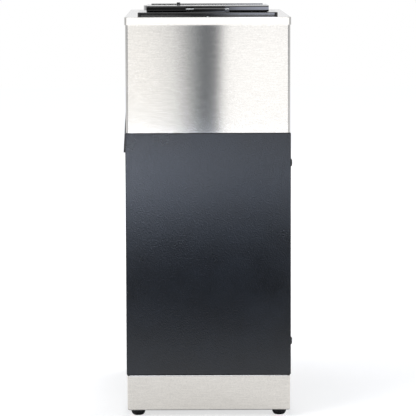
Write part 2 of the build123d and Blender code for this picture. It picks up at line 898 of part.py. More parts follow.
# Filter basket: a slotted cup whose rim sits on the funnel's ledge
basket_floor_z = funnel_top - basket_floor_drop
basket_wall_top = ledge_radius - basket_rim_width / 2
with BuildPart() as filter_basket:
    turned(
        0,
        spray_y,
        [
            (0, basket_floor_z),
            (basket_floor_radius, basket_floor_z),
            (basket_wall_top, ledge_z),
            (mouth_radius - seat_gap, ledge_z),
            (mouth_radius - seat_gap, ledge_z + basket_rim_thickness),
            (basket_wall_top - basket_wall, ledge_z + basket_rim_thickness),
            (basket_floor_radius - basket_wall, basket_floor_z + basket_wall),
            (0, basket_floor_z + basket_wall),
        ],
    )
    slot_z = (basket_floor_z + 4 * basket_slot_width, ledge_z - 2 * basket_slot_width)
    for step in range(basket_slots):
        turn = radians(360 * step / basket_slots)
        with BuildSketch(Plane(origin=(0, spray_y, 0), x_dir=(-sin(turn), cos(turn), 0), z_dir=(cos(turn), sin(turn), 0))):
            with Locations((0, (slot_z[0] + slot_z[1]) / 2)):
                SlotOverall(slot_z[1] - slot_z[0], basket_slot_width, rotation=90)
        extrude(amount=funnel_top_radius, mode=Mode.SUBTRACT)
    with BuildSketch(Plane.XY.offset(basket_floor_z)):
        with Locations((0, spray_y)):
            for ring in (1, 2, 3):
                with PolarLocations(ring * basket_floor_radius / 4, 6 * ring):
                    Circle(basket_slot_width / 2)
    extrude(amount=basket_wall, mode=Mode.SUBTRACT)
filter_basket.part.label = "filter_basket"
export_step(filter_basket.part, "parts/filter_basket.step")

# Head hood: four walls, with cut-outs for the switches, the lamp and the fascia screws
fascia_boss_z = trunk_top + fascia_boss_rise
front_y = at(body_depth)
with BuildPart() as head_hood:
    rounded_block(body_width, span(0, body_depth), (trunk_top, head_top), corner_radius)
    rounded_block(
        body_width - 2 * sheet,
        span(sheet, body_depth - sheet),
        (trunk_top, head_top),
        corner_radius - sheet,
        Mode.SUBTRACT,
    )
    for x in switch_xs:
        slab(
            (x - switch_body[0] / 2 - hole_gap, x + switch_body[0] / 2 + hole_gap),
            (front_y - sheet, front_y + 2 * sheet),
            (switch_z - switch_body[1] / 2 - hole_gap, switch_z + switch_body[1] / 2 + hole_gap),
            Mode.SUBTRACT,
        )
    rod(
        (lamp_x, front_y - sheet, switch_z),
        (lamp_x, front_y + 2 * sheet, switch_z),
        lamp_body_radius + hole_gap,
        Mode.SUBTRACT,
    )
    for depth in fascia_boss_depths:
        rod(
            (-half_width - sheet, at(depth), fascia_boss_z),
            (half_width + sheet, at(depth), fascia_boss_z),
            fascia_screw_radius + screw_clearance,
            Mode.SUBTRACT,
        )
head_hood.part.label = "head_hood"
export_step(head_hood.part, "parts/head_hood.step")

# Fascia: a shroud round the head's lower front and sides that flares downwards
fascia_z = (trunk_top - fascia_drop, trunk_top + fascia_rise)
fascia_slope = (fascia_bottom_proud - fascia_top_proud) / (fascia_z[1] - fascia_z[0])

with BuildPart() as fascia:
    # One U-shaped outline at the bottom edge and one at the top, joined by straight rulings
    for z, proud, wall, corner in (
        (fascia_z[0], fascia_bottom_proud, fascia_bottom_wall, fascia_corner_bottom),
        (fascia_z[1], fascia_top_proud, fascia_top_wall, fascia_corner_top),
    ):
        with BuildSketch(Plane.XY.offset(z)):
            with Locations((0, front_y - proud)):
                RectangleRounded(
                    body_width + 2 * proud, body_depth, corner, align=(Align.CENTER, Align.MIN)
                )
            with Locations((0, front_y - proud + wall)):
                RectangleRounded(
                    body_width + 2 * (proud - wall),
                    body_depth,
                    corner - wall,
                    align=(Align.CENTER, Align.MIN),
                    mode=Mode.SUBTRACT,
                )
            with Locations((0, at(fascia_rear_depth))):
                Rectangle(2 * body_width, body_depth, align=(Align.CENTER, Align.MIN), mode=Mode.SUBTRACT)
    loft(ruled=True)
    slab(
        (-fascia_window_half, fascia_window_half),
        span(body_depth - corner_radius, body_depth + 2 * fascia_bottom_proud),
        (fascia_z[0] - 1, trunk_top - fascia_front_drop),
        Mode.SUBTRACT,
    )
    boss_proud = fascia_top_proud + fascia_slope * (fascia_z[1] - fascia_boss_z)
    for side in (1, -1):
        for depth in fascia_boss_depths:
            rod(
                (side * half_width, at(depth), fascia_boss_z),
                (side * (half_width + boss_proud - fascia_top_wall / 2), at(depth), fascia_boss_z),
                fascia_boss_radius,
            )
            rod(
                (side * (half_width - sheet), at(depth), fascia_boss_z),
                (side * (half_width + fascia_screw_reach), at(depth), fascia_boss_z),
                fascia_screw_radius + running_gap,
                Mode.SUBTRACT,
            )
fascia.part.label = "fascia"
export_step(fascia.part, "parts/fascia.step")

with BuildPart() as fascia_screws:
    for side in (1, -1):
        for depth in fascia_boss_depths:
            seat = (side * (half_width - sheet), at(depth), fascia_boss_z)
            rod((seat[0] - side * fascia_screw_head_height, seat[1], seat[2]), seat, fascia_screw_head)
            tip = (side * (half_width + fascia_screw_reach - running_gap), at(depth), fascia_boss_z)
            rod(seat, tip, fascia_screw_radius)
fascia_screws.part.label = "fascia_screws"
export_step(fascia_screws.part, "parts/fascia_screws.step")

# Top cap with its turned-down rim, the basin opening and the upper warmer's opening
mouth_depths = (frame_rear_depth + frame_mouth_inset, frame_rear_depth + frame_mouth_inset + basin_length)
basin_y = at(sum(mouth_depths) / 2)
with BuildPart() as top_cap:
    rounded_block(
        body_width + 2 * cap_overhang,
        span(-cap_overhang, body_depth + cap_overhang),
        (cap_top - cap_rim_height, cap_top),
        corner_radius + cap_overhang,
    )
    rounded_block(
        body_width + 2 * (cap_overhang - cap_wall),
        span(cap_wall - cap_overhang, body_depth + cap_overhang - cap_wall),
        (cap_top - cap_rim_height, head_top),
        corner_radius + cap_overhang - cap_wall,
        Mode.SUBTRACT,
    )
    slab(
        (-basin_width / 2 - cap_opening_gap, basin_width / 2 + cap_opening_gap),
        span(mouth_depths[0] - cap_opening_gap, mouth_depths[1] + cap_opening_gap),
        (head_top, cap_top),
        Mode.SUBTRACT,
    )
    post(0, at(upper_warmer_depth), (head_top, cap_top), warmer_opening, Mode.SUBTRACT)
    post(0, at(rivet_depth), (head_top, cap_top), rivet_radius / 2 + running_gap, Mode.SUBTRACT)
top_cap.part.label = "top_cap"
export_step(top_cap.part, "parts/top_cap.step")

with BuildPart() as cap_rivet:
    turned(
        0,
        at(rivet_depth),
        [
            (0, head_top - rivet_dome),
            (rivet_radius * 0.8, head_top - rivet_dome),
            (rivet_radius * 0.8, head_top),
            (rivet_radius / 2, head_top),
            (rivet_radius / 2, cap_top),
            (rivet_radius, cap_top),
            (rivet_radius * 0.8, cap_top + rivet_dome * 0.7),
            (rivet_radius * 0.4, cap_top + rivet_dome),
            (0, cap_top + rivet_dome),
        ],
    )
cap_rivet.part.label = "cap_rivet"
export_step(cap_rivet.part, "parts/cap_rivet.step")

# Lid frame: a moulded ring round the basin's mouth, with an arch at the rear and the hinge knuckle
hinge_y = at(lid_rear_depth + hinge_inset)
hinge_z = lid_bottom + hinge_rise
arch_radius = (arch_width**2 / 4 + arch_height**2) / (2 * arch_height)
with BuildPart() as lid_frame:
    rounded_block(
        frame_width,
        span(frame_rear_depth, frame_rear_depth + frame_length),
        (cap_top, frame_top),
        frame_corner,
    )
    fillet(lid_frame.edges().group_by(Axis.Z)[-1], radius=1.0)
    slab(
        (-basin_width / 2, basin_width / 2),
        span(*mouth_depths),
        (cap_top, frame_top),
        Mode.SUBTRACT,
    )
    slab(
        (-basin_width / 2 - basin_flange_margin - seat_gap, basin_width / 2 + basin_flange_margin + seat_gap),
        span(mouth_depths[0] - basin_flange_margin - seat_gap, mouth_depths[1] + basin_flange_margin + seat_gap),
        (cap_top, basin_top + running_gap),
        Mode.SUBTRACT,
    )
    rod(
        (0, at(frame_rear_depth - 1), cap_top + arch_height - arch_radius),
        (0, at(frame_rear_depth + arch_depth), cap_top + arch_height - arch_radius),
        arch_radius,
        Mode.SUBTRACT,
    )
    slab(
        (knuckle_right, knuckle_left),
        (hinge_y - knuckle_radius * 0.7, hinge_y + knuckle_radius * 0.7),
        (frame_top - 1, hinge_z),
    )
    rod((knuckle_right, hinge_y, hinge_z), (knuckle_left, hinge_y, hinge_z), knuckle_radius)
    rod(
        (knuckle_right, hinge_y, hinge_z),
        (knuckle_left, hinge_y, hinge_z),
        hinge_pin_radius + running_gap,
        Mode.SUBTRACT,
    )
lid_frame.part.label = "lid_frame"
export_step(lid_frame.part, "parts/lid_frame.step")

# Lid: a shallow shell with a solid rear edge that carries the hinge pin, and a rear recess
with BuildPart() as lid:
    with BuildSketch(Plane.YZ.offset(-lid_width / 2)) as side_view:
        with Locations((at(lid_rear_depth + lid_length / 2), lid_bottom + lid_height / 2)):
            Rectangle(lid_length, lid_height)
        rear_corners = side_view.vertices().group_by(Axis.X)[-1].sort_by(Axis.Y)
        fillet(rear_corners[0], radius=lid_bottom_fillet)
        fillet(side_view.vertices().group_by(Axis.X)[-1].sort_by(Axis.Y)[-1], radius=lid_top_fillet)
    extrude(amount=lid_width)
    upright = lid.edges().filter_by(Axis.Z).group_by(Axis.Y)
    fillet(upright[0], radius=lid_corner)
    slab(
        (lid_wall - lid_width / 2, lid_width / 2 - lid_wall),
        span(lid_rear_depth + lid_rear_block, lid_rear_depth + lid_length - lid_wall),
        (lid_bottom, lid_top - lid_top_wall),
        Mode.SUBTRACT,
    )
    slab(
        (-recess_width / 2, recess_width / 2),
        span(lid_rear_depth - 1, lid_rear_depth + recess_length),
        (lid_bottom - 1, lid_top - recess_roof),
        Mode.SUBTRACT,
    )
    rod(
        (-hinge_pin_half - running_gap, hinge_y, hinge_z),
        (hinge_pin_half + running_gap, hinge_y, hinge_z),
        hinge_pin_radius + running_gap,
        Mode.SUBTRACT,
    )
    lip_front = lid_rear_depth + lid_length - lid_lip_width / 2
    slab(
        (lid_lip_margin - lid_width / 2, lid_width / 2 - lid_lip_margin),
        span(lip_front - lid_lip_width, lip_front),
        (lid_top, lid_top + lid_lip_height),
    )
    post(nub_x, at(lip_front - lid_lip_width / 2), (lid_top, lid_top + lid_lip_height + nub_height), nub_radius)
lid.part.label = "lid"
export_step(lid.part, "parts/lid.step")

with BuildPart() as hinge_pin:
    rod((-hinge_pin_half, hinge_y, hinge_z), (hinge_pin_half, hinge_y, hinge_z), hinge_pin_radius)
hinge_pin.part.label = "hinge_pin"
export_step(hinge_pin.part, "parts/hinge_pin.step")


# Pour basin: a sloping tray through the cap, its flange held under the frame, with a drain spout
def tray(inset, bottom, mode=Mode.ADD):
    outlines = []
    for z, width, length in (
        (bottom, basin_floor_width, basin_floor_length),
        (basin_top, basin_width, basin_length),
    ):
        with BuildSketch(Plane.XY.offset(z)) as outline:
            with Locations((0, basin_y)):
                Rectangle(width - 2 * inset, length - 2 * inset)
        outlines.append(outline.sketch.face())
    loft(outlines, ruled=True, mode=mode)


with BuildPart() as pour_basin:
    tray(0, basin_bottom)
    slab(
        (-basin_width / 2 - basin_flange_margin, basin_width / 2 + basin_flange_margin),
        span(mouth_depths[0] - basin_flange_margin, mouth_depths[1] + basin_flange_margin),
        (cap_top, basin_top),
    )
    tray(basin_wall, basin_bottom + basin_wall, Mode.SUBTRACT)
    post(0, at(fill_depth), (spout_bottom, basin_bottom + basin_wall), basin_spout)
    post(0, at(fill_depth), (spout_bottom, basin_bottom + basin_wall), basin_spout_bore, Mode.SUBTRACT)
pour_basin.part.label = "pour_basin"
export_step(pour_basin.part, "parts/pour_basin.step")

strainer_bottom = basin_bottom + basin_wall
with BuildPart() as basin_strainer:
    turned(
        0,
        at(fill_depth),
        [
            (0, strainer_bottom + strainer_dome),
            (strainer_radius - strainer_dome, strainer_bottom),
            (strainer_radius, strainer_bottom),
            (strainer_radius, strainer_bottom + basin_wall),
            (strainer_radius - strainer_dome, strainer_bottom + basin_wall),
            (0, strainer_bottom + strainer_dome + basin_wall),
        ],
    )
    with BuildSketch(Plane.XY.offset(strainer_bottom)):
        with Locations((0, at(fill_depth))):
            with PolarLocations(strainer_radius / 2, strainer_holes):
                Circle(basin_wall)
            with PolarLocations(strainer_radius / 4, strainer_holes // 2):
                Circle(basin_wall)
    extrude(amount=2 * strainer_dome, mode=Mode.SUBTRACT)
basin_strainer.part.label = "basin_strainer"
export_step(basin_strainer.part, "parts/basin_strainer.step")

# The two warmers: plate with its stud, seal, heating ring, clamp bar and nut
for name, depth, surface, gauge in (
    ("lower", lower_warmer_depth, base_top, sheet),
    ("upper", upper_warmer_depth, cap_top, cap_thickness),
):
    y = at(depth)
    plate_z = surface + warmer_plate_rise
    plate_top = plate_z + warmer_plate_thickness
    clamp_z = surface - gauge - clamp_drop - clamp_sheet

    with BuildPart() as warmer_plate:
        turned(
            0,
            y,
            [
                (0, plate_z),
                (warmer_radius - warmer_rim_width, plate_z),
                (warmer_radius - warmer_rim_width, surface + warmer_seal_height),
                (warmer_radius, surface + warmer_seal_height),
                (warmer_radius, plate_top + warmer_rim_height),
                (warmer_radius - warmer_rim_width, plate_top + warmer_rim_height),
                (warmer_radius - 2 * warmer_rim_width, plate_top),
                (0, plate_top),
            ],
        )
        post(0, y, (surface - stud_drop, plate_z), stud_radius)
    warmer_plate.part.label = f"{name}_warmer_plate"
    export_step(warmer_plate.part, f"parts/{name}_warmer_plate.step")

    with BuildPart() as warmer_seal:
        post(0, y, (surface, surface + warmer_seal_height), warmer_radius)
        post(0, y, (surface, surface + warmer_seal_height), warmer_radius - warmer_seal_width, Mode.SUBTRACT)
    warmer_seal.part.label = f"{name}_warmer_seal"
    export_step(warmer_seal.part, f"parts/{name}_warmer_seal.step")

    with BuildPart() as warmer_element:
        ring_z = plate_z - element_radius - running_gap
        with Locations((0, y, ring_z)):
            Torus(element_ring, element_radius)
        for side in (1, -1):
            tab_x = side * 3 * element_radius
            tab_y = y + element_ring
            slab(
                (tab_x - element_tab / 2, tab_x + element_tab / 2),
                (tab_y - element_radius, tab_y - element_radius / 2),
                (surface - element_leg_drop, ring_z),
            )
    warmer_element.part.label = f"{name}_warmer_element"
    export_step(warmer_element.part, f"parts/{name}_warmer_element.step")

    with BuildPart() as warmer_clamp:
        clamp_y = (y - clamp_width / 2, y + clamp_width / 2)
        slab((-clamp_half_length, clamp_half_length), clamp_y, (clamp_z, surface - gauge))
        slab(
            (clamp_sheet - clamp_half_length, clamp_half_length - clamp_sheet),
            clamp_y,
            (clamp_z + clamp_sheet, surface - gauge),
            Mode.SUBTRACT,
        )
        post(0, y, (clamp_z, clamp_z + clamp_sheet), stud_radius + screw_clearance, Mode.SUBTRACT)
    warmer_clamp.part.label = f"{name}_warmer_clamp"
    export_step(warmer_clamp.part, f"parts/{name}_warmer_clamp.step")

    with BuildPart() as warmer_nut:
        with BuildSketch(Plane.XY.offset(clamp_z - warmer_nut_height)):
            with Locations((0, y)):
                RegularPolygon(warmer_nut_radius, 6)
                Circle(stud_radius + running_gap, mode=Mode.SUBTRACT)
        extrude(amount=warmer_nut_height)
    warmer_nut.part.label = f"{name}_warmer_nut"
    export_step(warmer_nut.part, f"parts/{name}_warmer_nut.step")

# Switch housings in the hood's front, each with a cavity and two pivot holes
pivot_y = front_y + rocker_pivot_inset
with BuildPart() as switch_housings:
    for x in switch_xs:
        slab(
            (x - switch_bezel[0] / 2, x + switch_bezel[0] / 2),
            (front_y - switch_bezel[2], front_y),
            (switch_z - switch_bezel[1] / 2, switch_z + switch_bezel[1] / 2),
        )
        slab(
            (x - switch_body[0] / 2, x + switch_body[0] / 2),
            (front_y, front_y + switch_body[2]),
            (switch_z - switch_body[1] / 2, switch_z + switch_body[1] / 2),
        )
        slab(
            (x - switch_cavity[0] / 2, x + switch_cavity[0] / 2),
            (front_y - switch_bezel[2], front_y + switch_cavity[2]),
            (switch_z - switch_cavity[1] / 2, switch_z + switch_cavity[1] / 2),
            Mode.SUBTRACT,
        )
        rod(
            (x - switch_body[0] / 2, pivot_y, switch_z),
            (x + switch_body[0] / 2, pivot_y, switch_z),
            trunnion_radius + running_gap,
            Mode.SUBTRACT,
        )
switch_housings.part.label = "switch_housings"
export_step(switch_housings.part, "parts/switch_housings.step")

# Rockers, at rest with the lower end pressed in
rest_tilt = radians(rocker_throw / 2)
for name, x in zip(("upper_rocker", "brew_rocker", "lower_rocker"), switch_xs):
    with BuildPart() as rocker:
        tilted = Plane(
            origin=(x - rocker_width / 2, pivot_y, switch_z),
            x_dir=(0, -cos(rest_tilt), -sin(rest_tilt)),
            z_dir=(1, 0, 0),
        )
        with BuildSketch(tilted):
            with BuildLine():
                Polyline(
                    (-trunnion_radius * 3, -trunnion_radius * 2),
                    (-trunnion_radius * 3, trunnion_radius * 2),
                    (trunnion_radius, rocker_half_length - trunnion_radius / 3),
                    (rocker_front, rocker_half_length),
                    (rocker_waist, 0),
                    (rocker_front, -rocker_half_length),
                    (trunnion_radius, trunnion_radius / 3 - rocker_half_length),
                    close=True,
                )
            make_face()
        extrude(amount=rocker_width)
        rod((x - trunnion_half, pivot_y, switch_z), (x + trunnion_half, pivot_y, switch_z), trunnion_radius)
    rocker.part.label = name
    export_step(rocker.part, f"parts/{name}.step")

with BuildPart() as ready_lamp:
    rod((lamp_x, front_y, switch_z), (lamp_x, front_y - lamp_dome, switch_z), lamp_radius)
    fillet(ready_lamp.edges().group_by(Axis.Y)[0], radius=lamp_dome * 0.7)
    rod((lamp_x, front_y, switch_z), (lamp_x, front_y + lamp_length, switch_z), lamp_body_radius)
ready_lamp.part.label = "ready_lamp"
export_step(ready_lamp.part, "parts/ready_lamp.step")

# Thermostat on the head floor, with its capillary and the bulb inside the tank
box_rear = thermostat_depth - thermostat_size[1] / 2
box_front = thermostat_depth + thermostat_size[1] / 2
box_middle = head_floor_top + thermostat_size[2] / 2
bulb_top = tank_top - bulb_top_drop
capillary_x = thermostat_x + thermostat_size[0] / 4
with BuildPart() as thermostat:
    slab(
        (thermostat_x - thermostat_size[0] / 2, thermostat_x + thermostat_size[0] / 2),
        span(box_rear, box_front),
        (head_floor_top, head_floor_top + thermostat_size[2]),
    )
    tube(
        [
            (capillary_x, at(box_rear + 2), box_middle),
            (capillary_x, at(trunk_depth - 10), box_middle),
            (bulb_x, at(bulb_depth), box_middle),
            (bulb_x, at(bulb_depth), bulb_top - 1),
        ],
        spray_bend * 0.7,
        capillary_radius,
    )
    post(bulb_x, at(bulb_depth), (bulb_top - bulb_length, bulb_top), bulb_radius)
thermostat.part.label = "thermostat"
export_step(thermostat.part, "parts/thermostat.step")

with BuildPart() as limit_thermostat:
    post(limit_x, at(limit_depth), (tank_lid_top, tank_lid_top + limit_height), limit_radius)
    for side in (1, -1):
        blade_x = limit_x + side * limit_radius / 2
        slab(
            (blade_x - 0.4, blade_x + 0.4),
            (at(limit_depth) - 3, at(limit_depth) + 3),
            (tank_lid_top + limit_height, tank_lid_top + 2 * limit_height),
        )
limit_thermostat.part.label = "limit_thermostat"
export_step(limit_thermostat.part, "parts/limit_thermostat.step")

# Supply lead from the terminal block up the trunk's corner to the thermostat
lead_x = gland_x - terminal_size[0] / 4
riser = (lead_riser_inset - half_width, at(trunk_depth - lead_riser_inset))
lead_end = (thermostat_x - thermostat_size[0] / 4 + 2, at(box_rear), box_middle + lead_radius)
with BuildPart() as supply_lead:
    tube(
        [
            (lead_x, at(terminal_depth + terminal_size[1] / 4), terminal_top),
            (lead_x, at(terminal_depth + terminal_size[1] / 4), base_top + lead_start_rise),
            (riser[0], riser[1], base_top + lead_riser_rise),
            (riser[0], riser[1], lead_end[2]),
            (lead_end[0], at(box_rear - lead_end_reach), lead_end[2]),
            lead_end,
        ],
        lead_bends,
        lead_radius,
    )
supply_lead.part.label = "supply_lead"
export_step(supply_lead.part, "parts/supply_lead.step")

# Harness from the switches to the thermostat, and the jumper behind the outer switches
switch_rear = front_y + switch_body[2]
harness_z = switch_z - 2 * harness_radius
jumper_z = switch_z + 2 * harness_radius
with BuildPart() as switch_harness:
    tube(
        [
            (0, switch_rear, harness_z),
            (0, switch_rear + harness_reach, harness_z),
            (harness_turn[0], at(harness_turn[1]), switch_z - harness_turn[2]),
            (thermostat_x, at(box_front + harness_end_reach), box_middle),
            (thermostat_x, at(box_front), box_middle),
        ],
        harness_bends,
        harness_radius,
    )
    tube(
        [
            (switch_xs[0], switch_rear, jumper_z),
            (switch_xs[0], switch_rear + jumper_reach, jumper_z),
            (switch_xs[2], switch_rear + jumper_reach, jumper_z),
            (switch_xs[2], switch_rear, jumper_z),
        ],
        jumper_bend,
        jumper_radius,
    )
switch_harness.part.label = "switch_harness"
export_step(switch_harness.part, "parts/switch_harness.step")
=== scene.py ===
import json
import math

import bmesh
import bpy
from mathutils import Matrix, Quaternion, Vector


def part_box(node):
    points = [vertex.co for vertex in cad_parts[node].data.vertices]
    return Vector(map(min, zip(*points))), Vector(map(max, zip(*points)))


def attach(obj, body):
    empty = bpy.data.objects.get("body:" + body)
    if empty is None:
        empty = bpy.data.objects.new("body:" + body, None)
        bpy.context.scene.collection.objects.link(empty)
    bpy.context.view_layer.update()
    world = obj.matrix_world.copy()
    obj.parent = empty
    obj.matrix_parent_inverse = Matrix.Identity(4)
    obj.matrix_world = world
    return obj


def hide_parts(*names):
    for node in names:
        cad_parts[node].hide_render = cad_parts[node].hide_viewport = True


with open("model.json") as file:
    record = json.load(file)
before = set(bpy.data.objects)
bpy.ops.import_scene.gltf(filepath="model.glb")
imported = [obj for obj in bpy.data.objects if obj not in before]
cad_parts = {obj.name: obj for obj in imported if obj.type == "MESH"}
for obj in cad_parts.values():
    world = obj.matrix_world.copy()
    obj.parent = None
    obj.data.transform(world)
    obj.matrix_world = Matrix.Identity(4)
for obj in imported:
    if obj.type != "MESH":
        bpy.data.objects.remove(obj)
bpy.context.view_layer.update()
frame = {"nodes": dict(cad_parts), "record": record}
nodes = frame["nodes"]
scene = bpy.context.scene
mm = 0.001

print("stage: frame loaded,", len(nodes), "nodes")


def linearColour(hexText):
    # the sRGB curve, undone
    channels = [int(hexText[i:i + 2], 16) / 255 for i in (1, 3, 5)]
    linear = [c / 12.92 if c <= 0.04045 else ((c + 0.055) / 1.055) ** 2.4 for c in channels]
    return (*linear, 1.0)


def addNode(tree, kind, settings=None, links=None):
    # a setting that starts with "in:" is an input's own value, and a number stands for its index
    node = tree.nodes.new(kind)
    for name, value in (settings or {}).items():
        if name.startswith("in:"):
            key = name[3:]
            node.inputs[int(key) if key.isdigit() else key].default_value = value
        else:
            setattr(node, name, value)
    for name, source in (links or {}).items():
        tree.links.new(source, node.inputs[int(name) if name.isdigit() else name])
    return node


def emptyTree(owner):
    # the node tree of a material or world, with nothing in it yet
    owner.use_nodes = True
    owner.node_tree.nodes.clear()
    return owner.node_tree


def setRamp(node, stops):
    ramp = node.color_ramp
    while len(ramp.elements) > 1:
        ramp.elements.remove(ramp.elements[0])
    ramp.elements[0].position, ramp.elements[0].color = stops[0]
    for position, colour in stops[1:]:
        ramp.elements.new(position).color = colour
    return node


def meshObject(name, source):
    # from a bmesh, or from lists of points, edges and faces
    mesh = bpy.data.meshes.new(name)
    if isinstance(source, bmesh.types.BMesh):
        source.to_mesh(mesh)
        source.free()
    else:
        mesh.from_pydata(*source)
    piece = bpy.data.objects.new(name, mesh)
    scene.collection.objects.link(piece)
    return piece


def plainMesh(piece):
    # the evaluated result as a plain mesh, modifiers gone
    bpy.context.view_layer.update()
    evaluated = piece.evaluated_get(bpy.context.evaluated_depsgraph_get())
    mesh = bpy.data.meshes.new_from_object(evaluated)
    mesh.name = piece.name
    piece.modifiers.clear()
    piece.data = mesh
    return piece


# The camera stands behind the machine, a little above its middle, as in the photograph

cameraPlan = {
    "place": (0.0256, 3.2636, 0.5796),    # metres
    "yaw": math.radians(-0.4743),
    "pitch": math.radians(5.9935),
    "roll": math.radians(-0.1681),
    "lens": 216.53,    # mm
    "sensor": 36.0,
    "farClip": 50,    # metres
}


def buildCamera():
    camera = bpy.data.objects.new("photoCamera", bpy.data.cameras.new("photoCamera"))
    scene.collection.objects.link(camera)
    camera.data.lens = cameraPlan["lens"]
    camera.data.sensor_width = cameraPlan["sensor"]
    camera.data.clip_end = cameraPlan["farClip"]
    camera.location = cameraPlan["place"]
    yaw, pitch = cameraPlan["yaw"], cameraPlan["pitch"]
    lookAlong = Vector((
        math.sin(yaw) * math.cos(pitch), -math.cos(yaw) * math.cos(pitch), -math.sin(pitch)))
    turned = lookAlong.to_track_quat("-Z", "Y") @ Quaternion((0, 0, 1), cameraPlan["roll"])
    camera.rotation_euler = turned.to_euler()
    scene.camera = camera
    scene.view_settings.view_transform = "Standard"


studio = {
    "roomColour": "#BFC3CB",
    "roomStrength": 0.55,
    # how much of the white room gloss sees, from straight behind (0) round to the front (1)
    "gloss": [
        (0.0, 0.22), (0.10, 0.10), (0.18, 0.22), (0.28, 0.55), (0.40, 0.80), (0.50, 0.62),
        (0.62, 0.90), (0.78, 0.72), (1.0, 0.85)],
    "floorSize": 14.0,
    "floorColour": "#E6E6E6",
    "floorLift": [(0.5, 0.49), (2.6, 0.76)],  # metres from the middle, and the paper's own glow
    "warmBounce": [(0.8, 0.18), (1.5, 0.0)],  # the same for warm light that only gloss sees
    "bounceColour": "#FFF1D2",
    "eyeLift": 1.40,    # how much brighter that glow is to the eye under the base
    "glossShade": 1.17,    # how far beyond the base its shade reaches, to gloss
    "shadeEdge": 0.94,    # where the shade starts to end, as a share of its reach
    "lamps": [
        # name, place, aimed at, width, height, watts
        ("keyLamp", (1.9, 2.3, 1.9), (0, 0.1, 0.3), 1.3, 1.3, 34),
        ("fillLamp", (-1.7, 2.4, 1.2), (0, 0.1, 0.3), 1.0, 1.2, 9),
        ("frontLamp", (-1.4, -2.6, 1.7), (0, -0.1, 0.25), 1.4, 1.4, 30),
        ("topLamp", (0.2, -0.4, 2.9), (0, 0, 0.4), 1.5, 1.5, 18),
    ],
}


def seenPale(tree, rays, gloss):
    # 1 to the eye and through glass, and as much as gloss says in a reflection
    seen = addNode(tree, "ShaderNodeMath", {"operation": "MAXIMUM"}, {
        "0": rays.outputs["Is Camera Ray"], "1": gloss})
    return addNode(tree, "ShaderNodeMath", {"operation": "MAXIMUM"}, {
        "0": seen.outputs[0], "1": rays.outputs["Is Transmission Ray"]}).outputs[0]


def showOneSide(tree, shader):
    # clear from behind, so that other views see past the floor and the cards
    side = addNode(tree, "ShaderNodeNewGeometry")
    clear = addNode(tree, "ShaderNodeBsdfTransparent")
    mix = addNode(tree, "ShaderNodeMixShader", {}, {
        "0": side.outputs["Backfacing"], "1": shader, "2": clear.outputs[0]})
    addNode(tree, "ShaderNodeOutputMaterial", {}, {"Surface": mix.outputs[0]})


def buildWorld():
    world = bpy.data.worlds.new("paleRoom")
    scene.world = world
    tree = emptyTree(world)
    rays = addNode(tree, "ShaderNodeLightPath")
    way = addNode(tree, "ShaderNodeTexCoord").outputs["Generated"]
    split = addNode(tree, "ShaderNodeSeparateXYZ", {}, {"0": way})
    flank = addNode(tree, "ShaderNodeMath", {"operation": "ABSOLUTE"}, {"0": split.outputs["X"]})
    angle = addNode(tree, "ShaderNodeMath", {"operation": "ARCTAN2"}, {
        "0": flank.outputs[0], "1": split.outputs["Y"]})
    around = addNode(tree, "ShaderNodeMath", {"operation": "DIVIDE", "in:1": math.pi}, {
        "0": angle.outputs[0]})
    share = setRamp(addNode(tree, "ShaderNodeValToRGB", {}, {"0": around.outputs[0]}), [
        (at, (grey, grey, grey, 1)) for at, grey in studio["gloss"]])
    gloss = addNode(tree, "ShaderNodeMath", {"operation": "MULTIPLY"}, {
        "0": share.outputs[0], "1": rays.outputs["Is Glossy Ray"]})
    room = addNode(tree, "ShaderNodeBackground", {
        "in:Color": linearColour(studio["roomColour"]), "in:Strength": studio["roomStrength"]})
    white = addNode(tree, "ShaderNodeBackground", {"in:Color": (1, 1, 1, 1), "in:Strength": 1.0})
    mix = addNode(tree, "ShaderNodeMixShader", {}, {
        "0": seenPale(tree, rays, gloss.outputs[0]), "1": room.outputs[0], "2": white.outputs[0]})
    addNode(tree, "ShaderNodeOutputWorld", {}, {"Surface": mix.outputs[0]})


